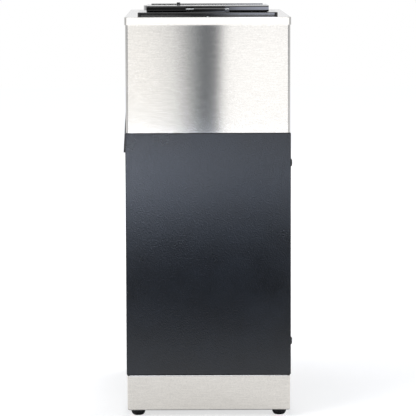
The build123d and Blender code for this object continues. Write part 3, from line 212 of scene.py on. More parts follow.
def buildFloor():
    half = studio["floorSize"] / 2
    floor = meshObject("paleFloor", (
        [(-half, -half, 0), (half, -half, 0), (half, half, 0), (-half, half, 0)],
        [], [(0, 1, 2, 3)]))
    paper = bpy.data.materials.new("palePaperSweep")  # matt white paper, lifted towards white
    tree = emptyTree(paper)
    rays = addNode(tree, "ShaderNodeLightPath")
    toEye, toGloss = rays.outputs["Is Camera Ray"], rays.outputs["Is Glossy Ray"]
    place = addNode(tree, "ShaderNodeTexCoord").outputs["Object"]
    distance = addNode(tree, "ShaderNodeVectorMath", {"operation": "LENGTH"}, {
        "0": place}).outputs["Value"]

    # the shade under the base is a rectangle, where gloss sees the paper unlifted: the hem and
    # the feet keep their dark line
    low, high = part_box("base_shell")
    middle, reach = (low + high) / 2, (high - low) / 2
    spot = addNode(tree, "ShaderNodeVectorMath", {
        "operation": "SUBTRACT", "in:1": (middle.x, middle.y, 0)}, {"0": place})
    spot = addNode(tree, "ShaderNodeVectorMath", {
        "operation": "DIVIDE", "in:1": (reach.x, reach.y, 1.0)}, {"0": spot.outputs[0]})
    spot = addNode(tree, "ShaderNodeVectorMath", {"operation": "ABSOLUTE"}, {
        "0": spot.outputs[0]})
    spot = addNode(tree, "ShaderNodeSeparateXYZ", {}, {"0": spot.outputs[0]})
    spot = addNode(tree, "ShaderNodeMath", {"operation": "MAXIMUM"}, {
        "0": spot.outputs["X"], "1": spot.outputs["Y"]})
    wider = addNode(tree, "ShaderNodeMath", {
        "operation": "MULTIPLY_ADD", "in:1": 1 - studio["glossShade"],
        "in:2": studio["glossShade"]}, {"0": toEye})
    spot = addNode(tree, "ShaderNodeMath", {"operation": "DIVIDE"}, {
        "0": spot.outputs[0], "1": wider.outputs[0]})
    eyeUnder = addNode(tree, "ShaderNodeMath", {
        "operation": "MULTIPLY", "in:1": studio["eyeLift"]}, {"0": toEye})
    unshaded = addNode(tree, "ShaderNodeMapRange", {
        "in:From Min": studio["shadeEdge"], "in:From Max": 1.0}, {
        "Value": spot.outputs[0], "To Min": eyeUnder.outputs[0]})

    # the lift towards white, for all that see the paper, and the warm light for gloss alone
    glows = []
    for stops, colour, seen in (
            (studio["floorLift"], (1, 1, 1, 1), seenPale(tree, rays, toGloss)),
            (studio["warmBounce"], linearColour(studio["bounceColour"]), toGloss)):
        (near, nearGlow), (far, farGlow) = stops
        fade = addNode(tree, "ShaderNodeMapRange", {
            "in:From Min": near, "in:From Max": far, "in:To Min": nearGlow,
            "in:To Max": farGlow}, {"Value": distance})
        fade = addNode(tree, "ShaderNodeMath", {"operation": "MULTIPLY"}, {
            "0": fade.outputs[0], "1": unshaded.outputs[0]})
        power = addNode(tree, "ShaderNodeMath", {"operation": "MULTIPLY"}, {
            "0": seen, "1": fade.outputs[0]})
        glows.append(addNode(tree, "ShaderNodeEmission", {"in:Color": colour}, {
            "Strength": power.outputs[0]}))
    lifted = addNode(tree, "ShaderNodeAddShader", {}, {
        "0": glows[0].outputs[0], "1": glows[1].outputs[0]})
    matt = addNode(tree, "ShaderNodeBsdfDiffuse", {
        "in:Color": linearColour(studio["floorColour"])})
    whole = addNode(tree, "ShaderNodeAddShader", {}, {
        "0": matt.outputs[0], "1": lifted.outputs[0]})
    showOneSide(tree, whole.outputs[0])
    floor.data.materials.append(paper)


def buildLamps():
    for name, place, target, width, height, watts in studio["lamps"]:
        lamp = bpy.data.lights.new(name, "AREA")
        lamp.shape = "RECTANGLE"
        lamp.size, lamp.size_y, lamp.energy = width, height, watts
        holder = bpy.data.objects.new(name, lamp)
        scene.collection.objects.link(holder)
        holder.location = place
        aim = Vector(target) - Vector(place)
        holder.rotation_euler = aim.to_track_quat("-Z", "Y").to_euler()
        holder.visible_camera = holder.visible_glossy = False  # steel mirrors room and cards


# Cards that only gloss sees: the bright and dark panels that a photographer stands behind a
# steel machine. "behind" is metres behind the hood, "flare" widens the pattern upwards, and the
# light has stops across, from -X to +X (place, strength, tint), and upwards (place, strength).

cards = {
    # pale walls with a dark gap: the soft band on the hood, a little wider towards the top
    "hoodCard": {
        "behind": 0.9, "x": (-0.16, 0.16), "z": (0.10, 0.51), "flare": 0.6,
        "across": [
            (0.0, 1.85, "#FFFFFF"), (0.425, 1.80, "#FFFFFF"), (0.452, 0.22, "#E4ECF8"),
            (0.500, 0.20, "#DCE6F4"), (0.530, 0.56, "#EAF0F4"), (0.60, 1.30, "#FFFFFF"),
            (0.69, 1.60, "#FFFEFC"), (1.0, 1.85, "#FFFEFC")],
        "upward": [(0.0, 1.0), (1.0, 1.0)],
    },
    # a white strip level with the cap's rim
    "rimCard": {
        "behind": 0.012, "x": (-0.11, 0.11), "z": (0.4829, 0.4928), "flare": 0.0,
        "across": [(0.0, 1.0, "#FFFFFF"), (1.0, 1.0, "#FFFFFF")],
        "upward": [(0.0, 1.95), (1.0, 1.95)],
    },
    # a soft lamp near the lid, on one side only
    "lidCard": {
        "behind": 0.06, "x": (-0.09, 0.09), "z": (0.4935, 0.512), "flare": 0.0,
        "across": [
            (0.09, 7.0, "#E9EEFF"), (0.27, 5.2, "#E9EEFF"), (0.36, 2.8, "#E9EEFF"),
            (0.47, 0.9, "#E9EEFF"), (0.56, 0.3, "#FFFFFF"), (1.0, 0.1, "#FFFFFF")],
        "upward": [(0.0, 1.0), (1.0, 1.0)],
    },
    # a high white wall, which the upper folds of the base, cover and cap pick up
    "highCard": {
        "behind": 1.6, "x": (-0.22, 0.22), "z": (0.8, 4.2), "flare": 0.0,
        "across": [(0.0, 1.0, "#FFFFFF"), (1.0, 1.0, "#FFFFFF")],
        "upward": [(0.0, 2.6), (1.0, 2.6)],
    },
    # the satin cover sees a bright upper wall, a dark middle and the pale floor
    "coverCard": {
        "behind": 0.30, "x": (-0.16, 0.16), "z": (0.033, 0.304), "flare": 0.0,
        "across": [
            (0.0, 0.95, "#E2ECFF"), (0.2, 0.65, "#E2ECFF"), (0.6, 0.95, "#E2ECFF"),
            (0.9, 1.75, "#E2ECFF")],
        "upward": [
            (0.0, 1.5), (0.06, 0.8), (0.2, 0.0), (0.50, 0.0), (0.74, 1.5), (0.91, 5.2),
            (1.0, 10.5)],
    },
}


def buildCards():
    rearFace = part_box("head_hood")[1].y
    for name, plan in cards.items():
        (left, right), (low, high), y = plan["x"], plan["z"], rearFace + plan["behind"]
        card = meshObject(name, (
            [(left, y, low), (right, y, low), (right, y, high), (left, y, high)],
            [], [(0, 1, 2, 3)]))
        material = bpy.data.materials.new(name)
        tree = emptyTree(material)
        place = addNode(tree, "ShaderNodeTexCoord")
        split = addNode(tree, "ShaderNodeSeparateXYZ", {}, {"0": place.outputs["Object"]})
        upward = addNode(tree, "ShaderNodeMapRange", {
            "in:From Min": low, "in:From Max": high}, {"Value": split.outputs["Z"]})
        width = addNode(tree, "ShaderNodeMath", {
            "operation": "MULTIPLY_ADD", "in:1": plan["flare"], "in:2": 1.0}, {
            "0": upward.outputs[0]})
        narrow = addNode(tree, "ShaderNodeMath", {"operation": "DIVIDE"}, {
            "0": split.outputs["X"], "1": width.outputs[0]})
        across = addNode(tree, "ShaderNodeMapRange", {
            "in:From Min": left, "in:From Max": right}, {"Value": narrow.outputs[0]})
        top = max(strength for _, strength, _ in plan["across"])
        sideways = setRamp(addNode(tree, "ShaderNodeValToRGB", {}, {"0": across.outputs[0]}), [
            (at, (*[c * strength / top for c in linearColour(tint)[:3]], 1))
            for at, strength, tint in plan["across"]])
        peak = max(strength for _, strength in plan["upward"])
        rising = setRamp(addNode(tree, "ShaderNodeValToRGB", {}, {"0": upward.outputs[0]}), [
            (at, (*[strength / peak] * 3, 1)) for at, strength in plan["upward"]])
        power = addNode(tree, "ShaderNodeMath", {"operation": "MULTIPLY", "in:1": top * peak}, {
            "0": rising.outputs[0]})
        glow = addNode(tree, "ShaderNodeEmission", {}, {
            "Color": sideways.outputs[0], "Strength": power.outputs[0]})
        showOneSide(tree, glow.outputs[0])
        card.data.materials.append(material)
        card.visible_camera = card.visible_diffuse = card.visible_shadow = False
        card.visible_transmission = card.visible_volume_scatter = False


buildCamera()
buildWorld()
buildFloor()
buildLamps()
buildCards()
print("stage: camera, floor and light")


# One entry for each finish, with grain, cloud and streak sizes in mm. Real grains of 0.1 to
# 0.5 mm are too fine to show from the camera, so the finest is drawn at 0.5 to 0.9 mm.

finishes = {
    # 304 stainless sheet, belt-brushed along its length: soft streaks, never a clean mirror. The
    # brush lines, about 0.2 mm apart, are drawn at 0.9 mm
    "beltBrushedStainless": {
        "slot": "brushed_stainless", "metallic": 1.0, "dark": "#BAB8B5", "light": "#CFCDCA",
        "rough": (0.10, 0.12), "streak": (18, 0.9), "bump": 0.005, "grain": 1.6, "aniso": 0.85,
    },
    # 304 drawn sheet inside the machine: duller, with faint draw marks, drawn 2 mm apart
    "drawnStainless": {
        "slot": "tank_steel", "metallic": 1.0, "dark": "#A9A8A4", "light": "#C9C8C4",
        "rough": (0.26, 0.42), "streak": (40, 2.0), "bump": 0.05, "grain": 2.0, "aniso": 0.3,
    },
    # black oxide on steel screws: a thin, slightly oily black
    "blackOxideSteel": {
        "slot": "blackened_steel", "metallic": 0.6, "dark": "#101012", "light": "#1C1C1F",
        "rough": (0.32, 0.46), "cloud": 6, "bump": 0.05, "grain": 0.8,
    },
    # zinc plated steel: cool, slightly mottled passivation
    "zincPlatedSteel": {
        "slot": "zinc_steel", "metallic": 1.0, "dark": "#A6A9AB", "light": "#C7CACB",
        "rough": (0.24, 0.38), "cloud": 14, "bump": 0.04, "grain": 0.8,
    },
    # textured powder coat on steel: a pebbled film, satin. Its grains are about 0.7 mm, too
    # fine to show, and drawn at 1.5 mm
    "texturedPowderCoat": {
        "slot": "textured_black", "metallic": 0.0, "dark": "#080B10", "light": "#1A2029",
        "rough": (0.27, 0.31), "cloud": 60, "bump": 0.36, "grain": 1.5, "pebbles": True,
    },
    # glossy moulded ABS: deep black, a trace of orange peel
    "glossMouldedAbs": {
        "slot": "gloss_black", "metallic": 0.0, "dark": "#08080A", "light": "#0E0E11",
        "rough": (0.06, 0.12), "cloud": 30, "bump": 0.02, "grain": 3.0, "coat": 0.3,
    },
    # phenolic and ABS mouldings with a spark-eroded grain: an even, dry black. Its grain of
    # about 0.5 mm is drawn at 0.9 mm
    "grainedMoulding": {
        "slot": "matte_black", "metallic": 0.0, "dark": "#131315", "light": "#1D1D20",
        "rough": (0.42, 0.56), "cloud": 45, "bump": 0.12, "grain": 0.9,
    },
    # moulded nitrile rubber: dull, with a little bloom
    "mouldedRubber": {
        "slot": "rubber_black", "metallic": 0.0, "dark": "#141416", "light": "#232326",
        "rough": (0.62, 0.80), "cloud": 8, "bump": 0.10, "grain": 0.8,
    },
    # glass-filled nylon: greyer than the rubber, fine swirls
    "filledNylon": {
        "slot": "gland_nylon", "metallic": 0.0, "dark": "#18181A", "light": "#262629",
        "rough": (0.40, 0.52), "cloud": 12, "bump": 0.08, "grain": 0.7,
    },
    # alloy heater sheath, heat-blued
    "bluedSheath": {
        "slot": "heater_sheath", "metallic": 1.0, "dark": "#5B544C", "light": "#837B70",
        "rough": (0.35, 0.50), "cloud": 20, "bump": 0.05, "grain": 1.2,
    },
    # needled glass-fibre wrap: soft, off-white, fibres about 1 mm apart
    "needledFibreWrap": {
        "slot": "fibre_wrap", "metallic": 0.0, "dark": "#C9C2AE", "light": "#E6E0CF",
        "rough": (0.85, 0.98), "cloud": 18, "bump": 0.6, "grain": 1.2, "sheen": 0.4,
    },
    # extruded silicone tube: milky and slightly soft to light
    "milkySilicone": {
        "slot": "silicone_tube", "metallic": 0.0, "dark": "#C9C3B6", "light": "#DDD8CC",
        "rough": (0.30, 0.42), "cloud": 25, "bump": 0.03, "grain": 1.0, "inside": 0.3,
    },
    # turned brass: a warm, clean shine with faint tool marks
    "turnedBrass": {
        "slot": "brass_fitting", "metallic": 1.0, "dark": "#B08B45", "light": "#D0AC62",
        "rough": (0.18, 0.30), "cloud": 10, "bump": 0.04, "grain": 0.8,
    },
    # fired black enamel on steel: glassy, with fine pinholes
    "firedEnamel": {
        "slot": "warmer_enamel", "metallic": 0.0, "dark": "#0B0B0C", "light": "#151517",
        "rough": (0.12, 0.24), "cloud": 35, "bump": 0.05, "grain": 2.0, "coat": 0.4,
    },
    # moulded grey phenolic: flat and a little chalky
    "greyPhenolic": {
        "slot": "control_grey", "metallic": 0.0, "dark": "#4A4A4C", "light": "#5E5E61",
        "rough": (0.45, 0.58), "cloud": 15, "bump": 0.08, "grain": 0.7,
    },
    # extruded wire jacket: soft black with a slight wax shine
    "extrudedJacket": {
        "slot": "wire_jacket", "metallic": 0.0, "dark": "#1B1B1C", "light": "#2A2A2B",
        "rough": (0.40, 0.55), "cloud": 10, "bump": 0.04, "grain": 0.8,
    },
    # polished moulded rocker caps: near-black with a tight highlight
    "polishedMoulding": {
        "slot": "rocker_gloss", "metallic": 0.0, "dark": "#0C0C0D", "light": "#141416",
        "rough": (0.14, 0.22), "cloud": 20, "bump": 0.02, "grain": 1.5, "coat": 0.2,
    },
    # clear red acrylic lens: light shows through it a little
    "redLensAcrylic": {
        "slot": "lamp_lens", "metallic": 0.0, "dark": "#A3120C", "light": "#C21A10",
        "rough": (0.05, 0.10), "cloud": 8, "bump": 0.01, "grain": 1.0, "through": 0.35,
    },
}


# What all the finishes share

finishRules = {
    "levelAbove": 0.7,    # a face whose normal is this upright is level sheet
    "streakNoise": (4.0, 0.62),    # detail and roughness of each noise
    "cloudNoise": (5.0, 0.6),
    "grainNoise": (3.0, 0.6),
    "pebbleSmoothness": 0.6,
    "pebbleShare": 0.5,
    "grainShare": 0.45,    # how much of the tone the grain gives, the rest is streak or cloud
    "toneSpan": (0.32, 0.68),    # pattern values of the dark and the light colour
    "roughSpan": (0.3, 0.7),    # pattern values of the smooth and the dull end
    "reliefShare": 0.5,    # the relief's height as a share of its grain
    "brushTurn": 0.25,    # a quarter turn from the tangent
    "coatRoughness": 0.05,
    "insideReach": 0.002,    # metres that light travels under a milky surface
}


def perMetre(sizeMm):
    return 1000.0 / sizeMm


def makeFinish(name, plan):
    rules = finishRules
    material = bpy.data.materials.new(name)
    tree = emptyTree(material)
    place = addNode(tree, "ShaderNodeTexCoord").outputs["Object"]
    if "streak" in plan:
        # long fine streaks: along X and Y on upright sheet, along Y on level sheet
        length, width = plan["streak"]
        face = addNode(tree, "ShaderNodeNewGeometry")
        up = addNode(tree, "ShaderNodeSeparateXYZ", {}, {"0": face.outputs["Normal"]})
        level = addNode(tree, "ShaderNodeMath", {"operation": "ABSOLUTE"}, {"0": up.outputs["Z"]})
        level = addNode(tree, "ShaderNodeMath", {
            "operation": "GREATER_THAN", "in:1": rules["levelAbove"]}, {"0": level.outputs[0]})
        upright = addNode(tree, "ShaderNodeMapping", {
            "in:Scale": (perMetre(length), perMetre(length), perMetre(width))}, {
            "Vector": place})
        flat = addNode(tree, "ShaderNodeMapping", {
            "in:Scale": (perMetre(width), perMetre(length), perMetre(length))}, {
            "Vector": place})
        along = addNode(tree, "ShaderNodeMix", {"data_type": "VECTOR"}, {
            "0": level.outputs[0], "4": upright.outputs[0], "5": flat.outputs[0]}).outputs[1]
        scale, (detail, roughness) = 1.0, rules["streakNoise"]
    else:
        along, scale, (detail, roughness) = place, perMetre(plan["cloud"]), rules["cloudNoise"]
    pattern = addNode(tree, "ShaderNodeTexNoise", {
        "in:Scale": scale, "in:Detail": detail, "in:Roughness": roughness}, {
        "Vector": along}).outputs["Fac"]
    detail, roughness = rules["grainNoise"]
    fine = addNode(tree, "ShaderNodeTexNoise", {
        "in:Scale": perMetre(plan["grain"]), "in:Detail": detail, "in:Roughness": roughness}, {
        "Vector": place}).outputs["Fac"]
    if "pebbles" in plan:
        cell = addNode(tree, "ShaderNodeTexVoronoi", {
            "feature": "SMOOTH_F1", "in:Scale": perMetre(plan["grain"]),
            "in:Smoothness": rules["pebbleSmoothness"]}, {"Vector": place})
        fine = addNode(tree, "ShaderNodeMix", {
            "data_type": "FLOAT", "in:0": rules["pebbleShare"]}, {
            "2": fine, "3": cell.outputs["Distance"]}).outputs[0]
    tone = addNode(tree, "ShaderNodeMix", {"data_type": "FLOAT", "in:0": rules["grainShare"]}, {
        "2": pattern, "3": fine}).outputs[0]
    darkest, lightest = rules["toneSpan"]
    spread = addNode(tree, "ShaderNodeMapRange", {
        "in:From Min": darkest, "in:From Max": lightest}, {"Value": tone}).outputs[0]
    colour = addNode(tree, "ShaderNodeMix", {
        "data_type": "RGBA", "in:6": linearColour(plan["dark"]),
        "in:7": linearColour(plan["light"])}, {"0": spread}).outputs[2]
    smooth, dull = plan["rough"]
    first, last = rules["roughSpan"]
    rough = addNode(tree, "ShaderNodeMapRange", {
        "in:From Min": first, "in:From Max": last, "in:To Min": smooth, "in:To Max": dull}, {
        "Value": pattern}).outputs[0]
    bump = addNode(tree, "ShaderNodeBump", {
        "in:Strength": plan["bump"], "in:Distance": plan["grain"] * mm * rules["reliefShare"]}, {
        "Height": pattern if "streak" in plan else fine}).outputs[0]
    shader = addNode(tree, "ShaderNodeBsdfPrincipled", {"in:Metallic": plan["metallic"]}, {
        "Base Color": colour, "Roughness": rough, "Normal": bump})
    sockets = shader.inputs
    if "aniso" in plan:
        # gloss spreads across the brush lines: upwards on upright sheet, sideways on level sheet
        sockets["Anisotropic"].default_value = plan["aniso"]
        sockets["Anisotropic Rotation"].default_value = rules["brushTurn"]
        aroundZ = addNode(tree, "ShaderNodeTangent", {"direction_type": "RADIAL", "axis": "Z"})
        aroundX = addNode(tree, "ShaderNodeTangent", {"direction_type": "RADIAL", "axis": "X"})
        turn = addNode(tree, "ShaderNodeMix", {"data_type": "VECTOR"}, {
            "0": level.outputs[0], "4": aroundZ.outputs[0], "5": aroundX.outputs[0]}).outputs[1]
        tree.links.new(turn, sockets["Tangent"])
    if "coat" in plan:
        sockets["Coat Weight"].default_value = plan["coat"]
        sockets["Coat Roughness"].default_value = rules["coatRoughness"]
    if "sheen" in plan:
        sockets["Sheen Weight"].default_value = plan["sheen"]
    if "inside" in plan:
        sockets["Subsurface Weight"].default_value = plan["inside"]
        sockets["Subsurface Scale"].default_value = rules["insideReach"]
    if "through" in plan:
        sockets["Transmission Weight"].default_value = plan["through"]
    addNode(tree, "ShaderNodeOutputMaterial", {}, {"Surface": shader.outputs[0]})
    return material


slotMaterial = {plan["slot"]: makeFinish(name, plan) for name, plan in finishes.items()}
slotOfNode = {row["node"]: row["material_slot"] for row in frame["record"]["subparts"]}
for nodeName, piece in nodes.items():
    piece.data.materials.clear()
    piece.data.materials.append(slotMaterial[slotOfNode[nodeName]])
print("stage: materials on", len(nodes), "nodes")


def addInput(tree, name, kind, value=None):
    socket = tree.interface.new_socket(name, in_out="INPUT", socket_type=kind)
    if value is not None:
        socket.default_value = value
    return socket.identifier


def newTree(name):
    tree = bpy.data.node_groups.new(name, "GeometryNodeTree")
    addInput(tree, "Geometry", "NodeSocketGeometry")
    tree.interface.new_socket("Geometry", in_out="OUTPUT", socket_type="NodeSocketGeometry")
    return tree, addNode(tree, "NodeGroupInput"), addNode(tree, "NodeGroupOutput")


def pointCloud(name, places, facing, spins):
    # one loose point for each repeat, with the way that it faces and its turn about that way
    piece = meshObject(name, (places, [], []))
    attributes = piece.data.attributes
    attributes.new("facing", "FLOAT_VECTOR", "POINT")
    attributes.new("spin", "FLOAT", "POINT")
    for index, turn in enumerate(spins):
        attributes["facing"].data[index].vector = facing
        attributes["spin"].data[index].value = turn
    return piece


def placeOnPoints(tree, start, finish, shape, material):
    # instances on the cloud's points, then realised and given their finish
    way = addNode(tree, "GeometryNodeInputNamedAttribute", {
        "data_type": "FLOAT_VECTOR", "in:Name": "facing"})
    turn = addNode(tree, "GeometryNodeInputNamedAttribute", {
        "data_type": "FLOAT", "in:Name": "spin"})
    align = addNode(tree, "FunctionNodeAlignRotationToVector", {"axis": "Z"}, {
        "Vector": way.outputs["Attribute"]})
    about = addNode(tree, "ShaderNodeCombineXYZ", {}, {"Z": turn.outputs["Attribute"]})
    twist = addNode(tree, "FunctionNodeEulerToRotation", {}, {"0": about.outputs[0]})
    rotation = addNode(tree, "FunctionNodeRotateRotation", {"rotation_space": "LOCAL"}, {
        "Rotation": align.outputs[0], "Rotate By": twist.outputs[0]})
    copies = addNode(tree, "GeometryNodeInstanceOnPoints", {}, {
        "Points": start.outputs["Geometry"], "Instance": shape,
        "Rotation": rotation.outputs[0]})
    real = addNode(tree, "GeometryNodeRealizeInstances", {}, {"Geometry": copies.outputs[0]})
    finished = addNode(tree, "GeometryNodeSetMaterial", {"in:Material": material}, {
        "Geometry": real.outputs[0]})
    tree.links.new(finished.outputs[0], finish.inputs[0])


def runTree(piece, tree, values):
    # inputs are set by identifier before the modifier is first evaluated
    modifier = piece.modifiers.new(tree.name, "NODES")
    modifier.node_group = tree
    for identifier, value in values.items():
        modifier[identifier] = value
    plainMesh(piece)
    if piece.data.materials[0] is None:  # the empty slot of the points that it started from
        piece.data.materials.pop(index=0)
    return piece


def smoothShade(piece, sharpFrom=35):
    for face in piece.data.polygons:
        face.use_smooth = True
    piece.data.set_sharp_from_angle(angle=math.radians(sharpFrom))
    return piece


def adopt(piece, body, slotName, *replaced):
    # gives a finished piece its finish if it has none, hangs it on its body, and hides the nodes
    # that it replaces
    if not piece.data.materials:
        piece.data.materials.append(slotMaterial[slotName])
    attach(piece, body)
    if replaced:
        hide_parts(*replaced)
    return piece


# Sheet metal with its folds rolled. Each roll is its radius in mm and its segments: the base's
# top roll catches a bright line, the cap's a soft one.

sheetPlan = {
    "baseShellFolded": {
        "node": "base_shell", "finish": "brushed_stainless", "top": (1.3, 4), "hem": (1.2, 2)},
    "topCapFolded": {
        "node": "top_cap", "finish": "brushed_stainless", "top": (0.5, 4), "hem": (0.3, 2)},
    "rearCoverFolded": {
        "node": "rear_cover", "finish": "textured_black", "top": (0.45, 3), "hem": (0.45, 3)},
}
sheetRules = {
    "weld": 1e-6,    # metres between points that are one point
    "flatWithin": 0.5,    # degrees between triangles that are one flat face
    "foldFrom": 0.6,    # radians from which an edge is a fold
    "levelWithin": 0.05,    # mm
    "sideWithin": 0.08,    # mm from the box's side
    "cornerWithin": 4.0,    # mm from the box's corner, for the edges of its rounding
    "roundness": 0.5,    # the bevel's profile: a circle's arc
    "flatWeight": 100,
}


def nodeMesh(nodeName):
    # a copy of a CAD node's loose triangles, merged, with flat areas joined again
    shape = bmesh.new()
    shape.from_mesh(nodes[nodeName].data)
    bmesh.ops.remove_doubles(shape, verts=shape.verts, dist=sheetRules["weld"])
    bmesh.ops.dissolve_limit(
        shape, angle_limit=math.radians(sheetRules["flatWithin"]), verts=shape.verts,
        edges=shape.edges, delimit={"NORMAL"})
    return shape


def outlineEdge(nodeName, height):
    # a test for edges on the outline of the node's box, at one height
    low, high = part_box(nodeName)
    level, side, corner = [
        sheetRules[key] * mm for key in ("levelWithin", "sideWithin", "cornerWithin")]

    def onOutline(point):
        across = min(point.x - low.x, high.x - point.x)
        along = min(point.y - low.y, high.y - point.y)
        atSide = min(across, along) < side or (across < corner and along < corner)
        return atSide and abs(point.z - height) < level
    return lambda edge: all(onOutline(vert.co) for vert in edge.verts)


def buildSheets():
    for name, plan in sheetPlan.items():
        shape = nodeMesh(plan["node"])
        low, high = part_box(plan["node"])
        for height, (radius, segments) in ((high.z, plan["top"]), (low.z, plan["hem"])):
            wanted = outlineEdge(plan["node"], height)
            shape.edges.ensure_lookup_table()
            chosen = [edge for edge in shape.edges if (
                edge.calc_face_angle(0) > sheetRules["foldFrom"] and wanted(edge))]
            bmesh.ops.bevel(
                shape, geom=chosen, offset=radius * mm, segments=segments, affect="EDGES",
                profile=sheetRules["roundness"], clamp_overlap=True)
        piece = smoothShade(meshObject(name, shape))
        # the flat sheet keeps its own way, and only the rolls turn
        weigh = piece.modifiers.new("flatFaces", "WEIGHTED_NORMAL")
        weigh.mode, weigh.weight, weigh.keep_sharp = "FACE_AREA", sheetRules["flatWeight"], True
        adopt(plainMesh(piece), "body", plan["finish"], plan["node"])
    print("stage: folded sheets")


# Black rubber strips in the two joints of the rear cover, in mm: painted shade, a dark strip that
# stands in for the shadow in each gap

jointShadowStrips = {
    "inset": 0.6,    # behind the cover's skin
    "thickness": 0.5,
    "wrap": 23.5,    # round each side
    "corner": 0.9,
    "cornerSteps": 3,
}


def buildJointShadowStrips():
    plan = jointShadowStrips
    low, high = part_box("rear_cover")
    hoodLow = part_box("head_hood")[0].z
    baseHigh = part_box("base_shell")[1].z
    inset, wall, corner = plan["inset"] * mm, plan["thickness"] * mm, plan["corner"] * mm
    front = high.y - plan["wrap"] * mm
    turns = [math.pi / 2 * step / plan["cornerSteps"] for step in range(plan["cornerSteps"] + 1)]
    strip = bmesh.new()
    for bottom, top in ((high.z, hoodLow), (baseHigh, low.z)):
        loops = []
        for deep in (0, wall):
            x, y = high.x - inset - deep, high.y - inset - deep
            line = [(x, front)]
            line += [(x + corner * (math.cos(a) - 1), y + corner * (math.sin(a) - 1)) for a in turns]
            line += [(-px, py) for px, py in reversed(line)]
            loops.append([[strip.verts.new((px, py, z)) for px, py in line] for z in (bottom, top)])
        (outerLow, outerHigh), (innerLow, innerHigh) = loops
        count = len(outerLow)
        for i in range(count - 1):
            j = i + 1
            for corners in (
                    (outerLow[i], outerLow[j], outerHigh[j], outerHigh[i]),
                    (innerLow[j], innerLow[i], innerHigh[i], innerHigh[j]),
                    (outerHigh[i], outerHigh[j], innerHigh[j], innerHigh[i]),
                    (outerLow[j], outerLow[i], innerLow[i], innerLow[j])):
                strip.faces.new(corners)
        for i in (0, count - 1):
            strip.faces.new((outerLow[i], outerHigh[i], innerHigh[i], innerLow[i]))
    bmesh.ops.recalc_face_normals(strip, faces=strip.faces)
    # painted shade: the black strips stand in for the shadow in the cover's joints
    adopt(meshObject("coverJointShadowStrips", strip), "body", "rubber_black")
    print("stage: cover seals")


# Slotted pan screws, sizes in mm and spins in degrees

screwPlan = {
    "coverScrews": {
        "node": "cover_screws", "finish": "blackened_steel", "headRadius": 4.8, "headHeight": 2.0,
        "shankRadius": 2.0, "shankLength": 6.0, "slotWidth": 1.2, "slotDepth": 0.9,
        "facing": (-1, 0, 0), "spins": (0.0, 90.0),
    },
    "footScrews": {
        "node": "foot_screws", "finish": "zinc_steel", "headRadius": 4.0, "headHeight": 2.4,
        "shankRadius": 2.0, "shankLength": 9.6, "slotWidth": 1.0, "slotDepth": 1.0,
        "facing": (0, 0, -1), "spins": (20.0, 75.0, 140.0, 100.0),
    },
    "railScrews": {
        "node": "rail_screws", "finish": "zinc_steel", "headRadius": 3.2, "headHeight": 2.2,
        "shankRadius": 1.5, "shankLength": 5.7, "slotWidth": 0.8, "slotDepth": 0.9,
        "facing": (0, 0, -1), "spins": (10.0, 50.0, 120.0, 80.0),
    },
}
screwShape = {
    "headSides": 40,
    "shankSides": 20,
    "ballSegments": 48,
    "ballRings": 32,
    # lengths that follow from a named size: which one, and how many times it
    "headUp": ("headHeight", 0.5),
    "shankDown": ("shankLength", -0.5),
    "domeReach": ("headRadius", 1.12),
    "slotLength": ("headRadius", 3.0),
    "slotHeight": ("slotDepth", 2.0),
}


